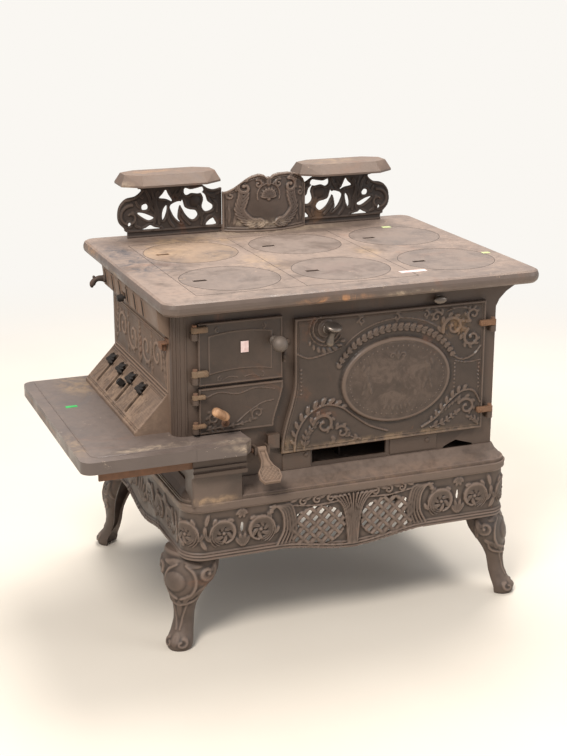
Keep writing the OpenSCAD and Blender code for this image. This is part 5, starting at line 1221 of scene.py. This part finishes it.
# ---------------------------------------------------------------- firebox end
def register_skin():
    b = mm("draft_register")
    y0, y1 = b[1], b[4]
    run_ = b[3] - b[0]
    rise = (b[5] - b[2]) - 4
    L = math.hypot(run_, rise)
    R = Relief(0, L, y0 + 0.5, y1 - 0.5, 1.7)
    ds = np.minimum(R.U, L - R.U)
    dy = np.minimum(R.V - y0, y1 - R.V)
    R.ground = np.minimum(ds + 0.01, dy)
    slots = [y1 - 63 - i * 80 for i in range(4)]
    cut = np.full_like(R.U, 1e3)
    for y in slots:
        q = np.maximum(np.abs(R.V - y) - 7.6, np.maximum(0.15 * L - R.U, R.U - 0.87 * L))
        cut = np.minimum(cut, q)
        R.h = np.maximum(R.h, 2.4 * np.sqrt(np.clip(1 - ((q - 2.6) / 2.4) ** 2, 0, 1)))
    ky = slots[1] - 60
    q = np.maximum(np.abs(R.V - (ky + 20)) - 26.4, np.abs(R.U - 0.51 * L) - 6.2)
    cut = np.minimum(cut, q)
    R.ground = np.minimum(R.ground, cut)
    R.beads(R.U, ((3, 2.4, 2.6), (8.5, 1.8, 2.0), (13, 1.8, 2.0)))
    R.beads(L - R.U, ((3, 2.6, 3.0), (9, 1.8, 2.2), (13.5, 1.6, 1.8)))
    R.beads(dy, ((3, 2.4, 2.4),))
    # small pearled ground with a leaf each side of every slot
    for y in [y1 - 23] + [s - 40 for s in slots]:
        for s in (-1, 1):
            R.scroll(L * 0.62, y + s * 9, 8, 90, s * 340, 2.4, 2.2)
            R.leaf(L * 0.2, y + s * 4, s * 16, 34, 6, s * 10, 2.4)
        R.leaf(L * 0.30, y, 0, 40, 7, 0, 2.6)
    grid = np.minimum(np.abs((R.U / 5) % 1 - 0.5), np.abs((R.V / 5) % 1 - 0.5))
    R.h = np.where((R.h < 0.3) & (cut > 5), 0.9 * np.clip(grid * 3, 0, 1), R.h)
    c, s_ = run_ / L, rise / L

    def place(u, v, h):
        return b[0] + u * c - (h - 0.4) * s_, v, b[2] + 4 + u * s_ + (h - 0.4) * c

    Mesh().plate(R, place, 1.0).make("register_face", m_end, slot="dusty_iron")
    # leaf-shaped tabs cast on beside the slots
    out = np.array([-s_, 0, c])              # away from the register's face
    for i, y in enumerate(slots):
        M = Mesh()
        o = np.array([b[0] + 0.66 * L * c, y + 1.0, b[2] + 4 + 0.66 * L * s_]) + out * 1.5
        for k in range(7):
            a = math.radians(90 + (k - 3) * 30)
            way = np.array([c * math.sin(a), -math.cos(a) * 0.9, s_ * math.sin(a)])
            tip = o + way * (18 if k % 2 else 23) + out * 6
            mid = (o + tip) / 2 + out * 5
            M.tube(smooth_path([o, mid, tip], 6), np.interp(np.linspace(0, 1, 13), [0, 0.6, 1], [3.4, 5.0, 1.4]), 10)
        M.turned(o, out, [(0, 7), (4, 7), (9, 5), (11, 2)], 16)
        M.make("register_tab_%d" % (i + 1), m_soot, slot="black_iron")


def end_relief():
    """Scrollwork on the end wall between the register and the cove."""
    b = mm("firebox_end")
    y0, y1 = b[1] + 12, b[4] - 8
    z0, z1 = mm("draft_register")[5] + 3, b[5] - 70
    R = Relief(y0, y1, z0, z1, 2.0)
    d = R.inside(y0, y1, z0, z1)
    R.ground = d + 0.01
    cy, cz = (y0 + y1) / 2, (z0 + z1) / 2
    hh = (z1 - z0) / 2
    R.beads(d, ((3, 2.6, 2.8), (9, 1.8, 2.0)))
    for s in (-1, 1):
        R.scroll(cy + s * 52, cz, hh - 18, 90 - s * 60, -s * 430, 5, 3.6, 7, 20, 6)
        R.scroll(cy + s * 132, cz + 4, hh - 20, 270 + s * 60, s * 420, 5, 3.6, 7, 18, 6)
        R.acanthus([(cy + s * 196, z0 + 14), (cy + s * 186, cz), (cy + s * 178, z1 - 20)], 5, 20, 6, 3)
        R.acanthus([(cy + s * 92, z0 + 10), (cy + s * 94, cz), (cy + s * 92, z1 - 12)], 4, 18, 5, 2.8)
    R.acanthus([(cy, z0 + 12), (cy, cz), (cy, z1 - 22)], 6, 22, 7, 3.4)
    grid = np.minimum(np.abs(((R.U + R.V) / 6) % 1 - 0.5), np.abs(((R.U - R.V) / 6) % 1 - 0.5))
    R.h = np.where((R.h < 0.3) & (d > 11), 0.8 * np.clip(grid * 3, 0, 1), R.h)

    def place(u, v, h):
        return np.full_like(u, b[0] + 26) - h + 0.4, u, v

    Mesh().plate(R, place, 0.9, back="flat").make("end_wall_relief", m_end, slot="dusty_iron")
    # arched hoods round the slots of the cove
    x0, z_lo, x1, z_hi = b[0] + 5, b[5] - 45, b[0], b[5]
    dx, dz = x1 - x0, z_hi - z_lo
    L = math.hypot(dx, dz)
    n = (dz / L, -dx / L)
    for i in range(6):
        y = b[4] - 27 - i * 60
        M = Mesh()
        w, lo, hi = 9.4, 2 / dz * L, (dz - 3) / dz * L
        path = [(hi - w + w * math.sin(a), -w * math.cos(a)) for a in np.linspace(0, math.pi, 12)]
        pts = [(x0 + dx * s / L - n[0] * 0.3, y + t, z_lo + dz * s / L - n[1] * 0.3)
               for s, t in [(lo, -w)] + path + [(lo, w)]]
        M.tube(smooth_path(pts, 3), 1.8, 10)
        M.make("cove_hood_%d" % (i + 1), m_end, slot="dusty_iron")
        # a dark lining on the walls of the slot: painted shade inside the opening
        lo, hi = z_lo + 8, z_hi - 10
        arc = np.linspace(0, math.pi, 10)
        loop = [(math.cos(a), hi, math.sin(a)) for a in arc] + [(-math.cos(a), lo, -math.sin(a)) for a in arc]
        verts, m = [], len(loop)
        rim = ((7.6, 0.2), (7.6, -0.35), (4.2, -0.35), (4.2, 5.6), (4.9, 5.6), (4.9, 0.2))
        for rr, depth in rim:
            for c, z, k in loop:
                zz = z + rr * k
                verts.append((x0 + dx * (zz - z_lo) / dz + depth, y + rr * c, zz))
        faces = [(q * m + j, q * m + (j + 1) % m, (q + 1) % 6 * m + (j + 1) % m, (q + 1) % 6 * m + j)
                 for q in range(6) for j in range(m)]
        M = Mesh()
        M.add(verts, faces)
        M.make("cove_slot_shade_%d" % (i + 1), m_soot, slot="black_iron")


def rail_bracket():
    """The hook-shaped bracket at the back that once held the end rail."""
    b = mm("rail_bracket_back")
    y = (b[1] + b[4]) / 2
    x1, z0, z1 = b[3] - 1.5, b[2], b[5]
    zc = z1 - 8
    M = Mesh()
    path = smooth_path([(x1 - 2, y, zc), (x1 - 14, y, zc + 1), (x1 - 24, y, zc - 3), (x1 - 30, y, zc - 12),
                        (x1 - 31, y, z0 + 2)], 8)
    M.tube(path, np.interp(np.linspace(0, 1, len(path)), [0, 0.4, 0.7, 1], [7.5, 6, 7, 2.4]), 16)
    M.turned((x1 + 1, y, zc), (-1, 0, 0), [(0, 9), (3, 9.5), (6, 7.5)], 20)
    M.tube(smooth_path([(x1 - 22, y, zc - 3), (x1 - 24, y, zc + 4), (x1 - 28, y, zc + 7)], 6),
           [4] * 6 + [3] * 6 + [1.5], 12)
    M.make("rail_bracket_back_cast", m_black, nodes=["rail_bracket_back"], slot="black_iron")


register_skin()
end_relief()
rail_bracket()


# ---------------------------------------------------------------- small pieces on the CAD shapes
def seams():
    """Dark seams round the lids and covers."""
    z = TOP[5]
    for n in ("front_left", "front_middle", "front_right", "back_left", "back_middle", "back_right"):
        b = mm("lid_" + n)
        cx, cy, r = (b[0] + b[3]) / 2, (b[1] + b[4]) / 2, (b[3] - b[0]) / 2 + 0.4
        ring = [(cx + r * math.cos(a), cy + r * math.sin(a), z - 0.35) for a in np.linspace(0, 2 * math.pi, 73)]
        Mesh().tube(ring, 0.75, 6).make("lid_seam_" + n, m_soot, slot="black_iron")
    M = Mesh()
    c0, c1 = mm("firebox_cover"), mm("middle_cover")
    for x in (c0[0] - 0.2, c0[3] + 0.2, c1[3] + 0.2):
        M.tube([(x, c0[1] + (c0[4] - c0[1]) * k / 20, z - 0.3) for k in range(21)], 0.65, 6)
    for y in (c0[1] - 0.2, c0[4] + 0.2):
        M.tube([(c0[0] + (c1[3] - c0[0]) * k / 20, y, z - 0.3) for k in range(21)], 0.65, 6)
    M.make("cover_seams", m_soot, slot="black_iron")


def hearth_line():
    """A raised line along the hearth's edges."""
    hc = mm("hearth_cover")
    x0, y0, c, z = HEARTH[0] + 26, HEARTH[1] + 26, 20, HEARTH[5] - 0.2
    line = [(x0, HEARTH[4] - 14 - (HEARTH[4] - 14 - y0 - c) * k / 20, z) for k in range(21)]
    line += [(x0 + c - c * math.cos(a), y0 + c - c * math.sin(a), z) for a in np.linspace(0.2, 1.4, 7)]
    line += [(x0 + c + (hc[3] - 16 - x0 - c) * k / 16, y0, z) for k in range(17)]
    Mesh().tube(line, 1.5, 8).make("hearth_line", m_hearth, slot="dusty_iron")


def base_moulding():
    """A roll moulding of two bars round the base plate."""
    b = mm("base_plate")
    M = Mesh()
    for inset, dz, r in ((3.4, 12, 3.2), (8.4, 20.5, 2.6)):
        x0, y0, x1, y1, c = b[0] + inset, b[1] + inset, b[3] - inset, b[4] - inset, 46 - inset
        path = []
        for px, py, a0 in ((x1 - c, y1 - c, 0), (x0 + c, y1 - c, 90), (x0 + c, y0 + c, 180), (x1 - c, y0 + c, 270)):
            for a in np.radians(np.linspace(a0, a0 + 90, 9)):
                path.append((px + c * math.cos(a), py + c * math.sin(a), b[2] + dz))
        path.append(path[0])
        M.tube(path, r, 10)
    M.make("base_moulding", m_base, slot="dusty_iron")


def front_trims():
    """Reeds of the corner column, the bead over the doors with a boss, the catch, and the rails."""
    f = mm("front_frame")
    cx, cy = f[0] + 24, FRONT_Y + 24
    z0, z1 = HEARTH[5] + 1, f[5] - 2

    def reed(x, y, r):
        M.tube([(x, y, z0 + (z1 - z0) * k / 12) for k in range(13)], [1.6] + [r] * 11 + [1.6], 10)

    M = Mesh()
    for a in np.radians((205, 225, 245)):
        reed(cx + 23.8 * math.cos(a), cy + 23.8 * math.sin(a), 2.4)
    reed(cx + 3, FRONT_Y + 0.4, 2.6)
    M.make("column_reeds", m_front, slot="black_iron")
    M = Mesh()
    M.tube([(f[0] + 30 + (f[3] - f[0] - 34) * k / 30, FRONT_Y + 0.4, f[5] - 14 + 3 * math.sin(math.pi * k / 30))
            for k in range(31)], 2.6, 10)
    M.turned((OD[0] + 17, FRONT_Y + 0.5, FD[2] + 75), (0, -1, 0), [(0, 6), (3, 6), (5, 4), (5.5, 1)], 20)
    M.make("front_bead", m_front, slot="black_iron")
    # catch hook that the fire door drops on
    x, z = FD[3] + 4, FD[2]
    hook = [(x, FRONT_Y - 2, z + 40), (x - 1, FRONT_Y - 11, z + 42), (x - 2, FRONT_Y - 15, z + 50),
            (x, FRONT_Y - 14, z + 58)]
    Mesh().tube(smooth_path(hook, 7), 3.2, 12).make("fire_door_catch", m_black, slot="black_iron")
    # flat rails under the doors, each with a rivet: x0, x1, height below the door's foot, x and z of the rivet
    M = Mesh()
    z = OD[2]
    for x0, x1, low, high, rx, rz in ((mm("foot_pedal")[3] + 28, -92, 42, 4, -104, 12), (95, 210, 38, 3, 186, 16)):
        M.block(x0, FRONT_Y - 2.2, z - low, x1, FRONT_Y + 1, z - high, 1.0)
        M.turned((rx, FRONT_Y - 1, z - rz), (0, -1, 0), [(0, 5), (2.5, 5), (4, 3)], 18)
    M.make("front_rails", m_front, slot="black_iron")


def back_bolts():
    """Stove bolts that hold the back."""
    M = Mesh()
    b = mm("back_panel")
    for x in (b[0] + 14, b[3] - 14):
        for z in np.linspace(b[2] + 20, b[5] - 24, 4):
            M.turned((x, b[4] - 0.5, z), (0, 1, 0), [(0, 6), (1.5, 6), (4, 4.5), (5, 1.5)], 16)
    M.make("back_bolts", m_rust, slot="rusty_iron")


def blank_labels():
    """Plain tags, stickers and tape left on the stove: boxes x0, y0, z0, x1, y1, z1."""
    tx, tz = FD[0] + 115, FD[2] + 77
    hz, cz = HEARTH[5], TOP[5]
    for name, material, body, boxes in (
            ("blank_tag_door", m_paper, "fire_door",
             [(tx - 8.5, FIRE_FRONT - 3.4, tz - 12, tx + 8.5, FIRE_FRONT - 2.9, tz + 12)]),
            ("blank_sticker_hearth", m_green, "stove", [(-560, -10, hz, -534, 2, hz + 0.5)]),
            ("blank_strip_top", m_paper, "stove", [(128, -258, cz, 190, -242, cz + 0.5)]),
            ("blank_tape_top", m_tape, "stove", [(296, 196, cz, 318, 212, cz + 0.6),
                                                 (386, -150, cz, 404, -136, cz + 0.6)])):
        M = Mesh()
        for box in boxes:
            M.block(*box, 0.1)
        M.make(name, material, body, slot="worn_wood")


seams()
hearth_line()
base_moulding()
front_trims()
back_bolts()
blank_labels()

# ---------------------------------------------------------------- materials on the CAD nodes
USE = {
    m_top: ["cook_top", "firebox_cover", "middle_cover"],
    m_shelf: ["warming_shelf_left", "warming_shelf_right"],
    m_lid: ["lid_front_left", "lid_front_middle", "lid_front_right", "lid_back_middle", "lid_back_right"],
    m_lid2: ["lid_back_left"],
    m_hearth: ["hearth_shelf", "hearth_cover"],
    m_base: ["base_plate", "skirt_back"],
    m_front: ["front_frame", "hearth_box", "right_side_panel", "left_side_panel"],
    m_end: ["firebox_end", "draft_register"],
    m_black: ["back_panel", "flue_box"],
    m_soot: ["draft_slide", "check_slide"],
    m_inner: ["oven_box", "oven_rack", "oven_door_liner", "firebox_back", "grate", "ash_floor", "damper_plate",
              "ash_pan"],
    m_rust: ["leg_bolts", "pipe_collar", "hearth_rib", "rail_bracket_front", "left_hinge_pins", "right_hinge_pins",
             "pedal_pin"],
    m_brick: ["firebox_linings"],
}
material_of = {node: material for material, nodes in USE.items() for node in nodes}
for node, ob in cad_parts.items():
    ob.data.materials.clear()
    ob.data.materials.append(material_of.get(node, m_black))

# ---------------------------------------------------------------- floor, light and camera
scene = bpy.context.scene
scene.view_settings.view_transform = "Standard"
BACKGROUND = lin(250, 247, 242)


def seen_by(tree, *rays):
    """1 for two kinds of rays, and 0 for all others."""
    path = put(tree, "LightPath")
    return put(tree, "Math", {i: path.outputs[ray] for i, ray in enumerate(rays)}, operation="MAXIMUM").outputs[0]


def backdrop():
    """The floor. Far from the stove it turns into the pale background, for camera and mirror rays."""
    me = bpy.data.meshes.new("floor")
    S = 30                                   # half its side, in metres
    me.from_pydata([(-S, -S, 0), (S, -S, 0), (S, S, 0), (-S, S, 0)], [], [(0, 1, 2, 3)])
    ob = bpy.data.objects.new("floor", me)
    scene.collection.objects.link(ob)
    m = bpy.data.materials.new("floor")
    m.use_nodes = True
    tree = m.node_tree
    surface = tree.nodes["Principled BSDF"]
    place = put(tree, "TexCoord").outputs["Object"]
    cloud = put(tree, "TexNoise", {"Vector": place, "Scale": 1.4, "Detail": 6}).outputs["Fac"]
    wire(tree, surface, {"Base Color": two_tones(tree, cloud, lin(214, 203, 188), lin(228, 219, 206)),
                         "Roughness": 0.55})
    away = put(tree, "VectorMath", {0: place}, operation="LENGTH").outputs["Value"]
    far = put(tree, "MapRange", {"Value": away, "From Min": 1.15, "From Max": 3.2},
              interpolation_type="SMOOTHSTEP").outputs["Result"]
    both = put(tree, "Math", {0: seen_by(tree, "Is Camera Ray", "Is Glossy Ray"), 1: far}, operation="MULTIPLY")
    glow = put(tree, "Emission", {"Color": BACKGROUND})
    mixed = put(tree, "MixShader", {0: both.outputs[0], 1: surface.outputs[0], 2: glow.outputs[0]})
    wire(tree, tree.nodes["Material Output"], {0: mixed.outputs[0]})
    me.materials.append(m)


def studio_world():
    """A soft sky for the light, and the pale background for the camera."""
    world = bpy.data.worlds.new("studio")
    scene.world = world
    world.use_nodes = True
    tree = world.node_tree
    sky = tree.nodes["Background"]
    wire(tree, sky, {"Color": (0.95, 0.97, 1.0, 1), "Strength": 0.55})
    white = put(tree, "Background", {"Color": BACKGROUND})
    mixed = put(tree, "MixShader", {0: seen_by(tree, "Is Camera Ray", "Is Transmission Ray"),
                                    1: sky.outputs[0], 2: white.outputs[0]})
    wire(tree, tree.nodes["World Output"], {0: mixed.outputs[0]})


def area(name, loc, target, size, power, color):
    ld = bpy.data.lights.new(name, "AREA")
    ld.shape = "DISK"
    ld.size = size
    ld.energy = power
    ld.color = color
    ob = bpy.data.objects.new(name, ld)
    ob.location = loc
    ob.rotation_euler = (Vector(target) - Vector(loc)).to_track_quat("-Z", "Y").to_euler()
    scene.collection.objects.link(ob)


backdrop()
studio_world()
area("key", (-2.4, -2.6, 4.2), (0, 0, 0.4), 1.8, 230, (1.0, 0.96, 0.91))
area("overhead", (0.9, 1.2, 4.0), (0, 0, 0.6), 2.4, 170, (1.0, 0.97, 0.93))
area("fill", (3.4, -2.6, 1.8), (0, 0, 0.4), 2.4, 40, (0.95, 0.97, 1.0))

cam_data = bpy.data.cameras.new("camera")
cam_data.lens = 70.48
cam_data.sensor_width = 36
cam_data.clip_end = 100
cam = bpy.data.objects.new("camera", cam_data)
scene.collection.objects.link(cam)
scene.camera = cam
# the camera that was fitted to the photo's straight edges
yaw, pitch = math.radians(-21.2), math.radians(17.27)
cam.location = (-1.231 + SHIFT_X, -3.060 + SHIFT_Y, 1.499)
forward = Vector((-math.sin(yaw) * math.cos(pitch), math.cos(yaw) * math.cos(pitch), -math.sin(pitch)))
cam.rotation_mode = "QUATERNION"
cam.rotation_quaternion = forward.to_track_quat("-Z", "Y")
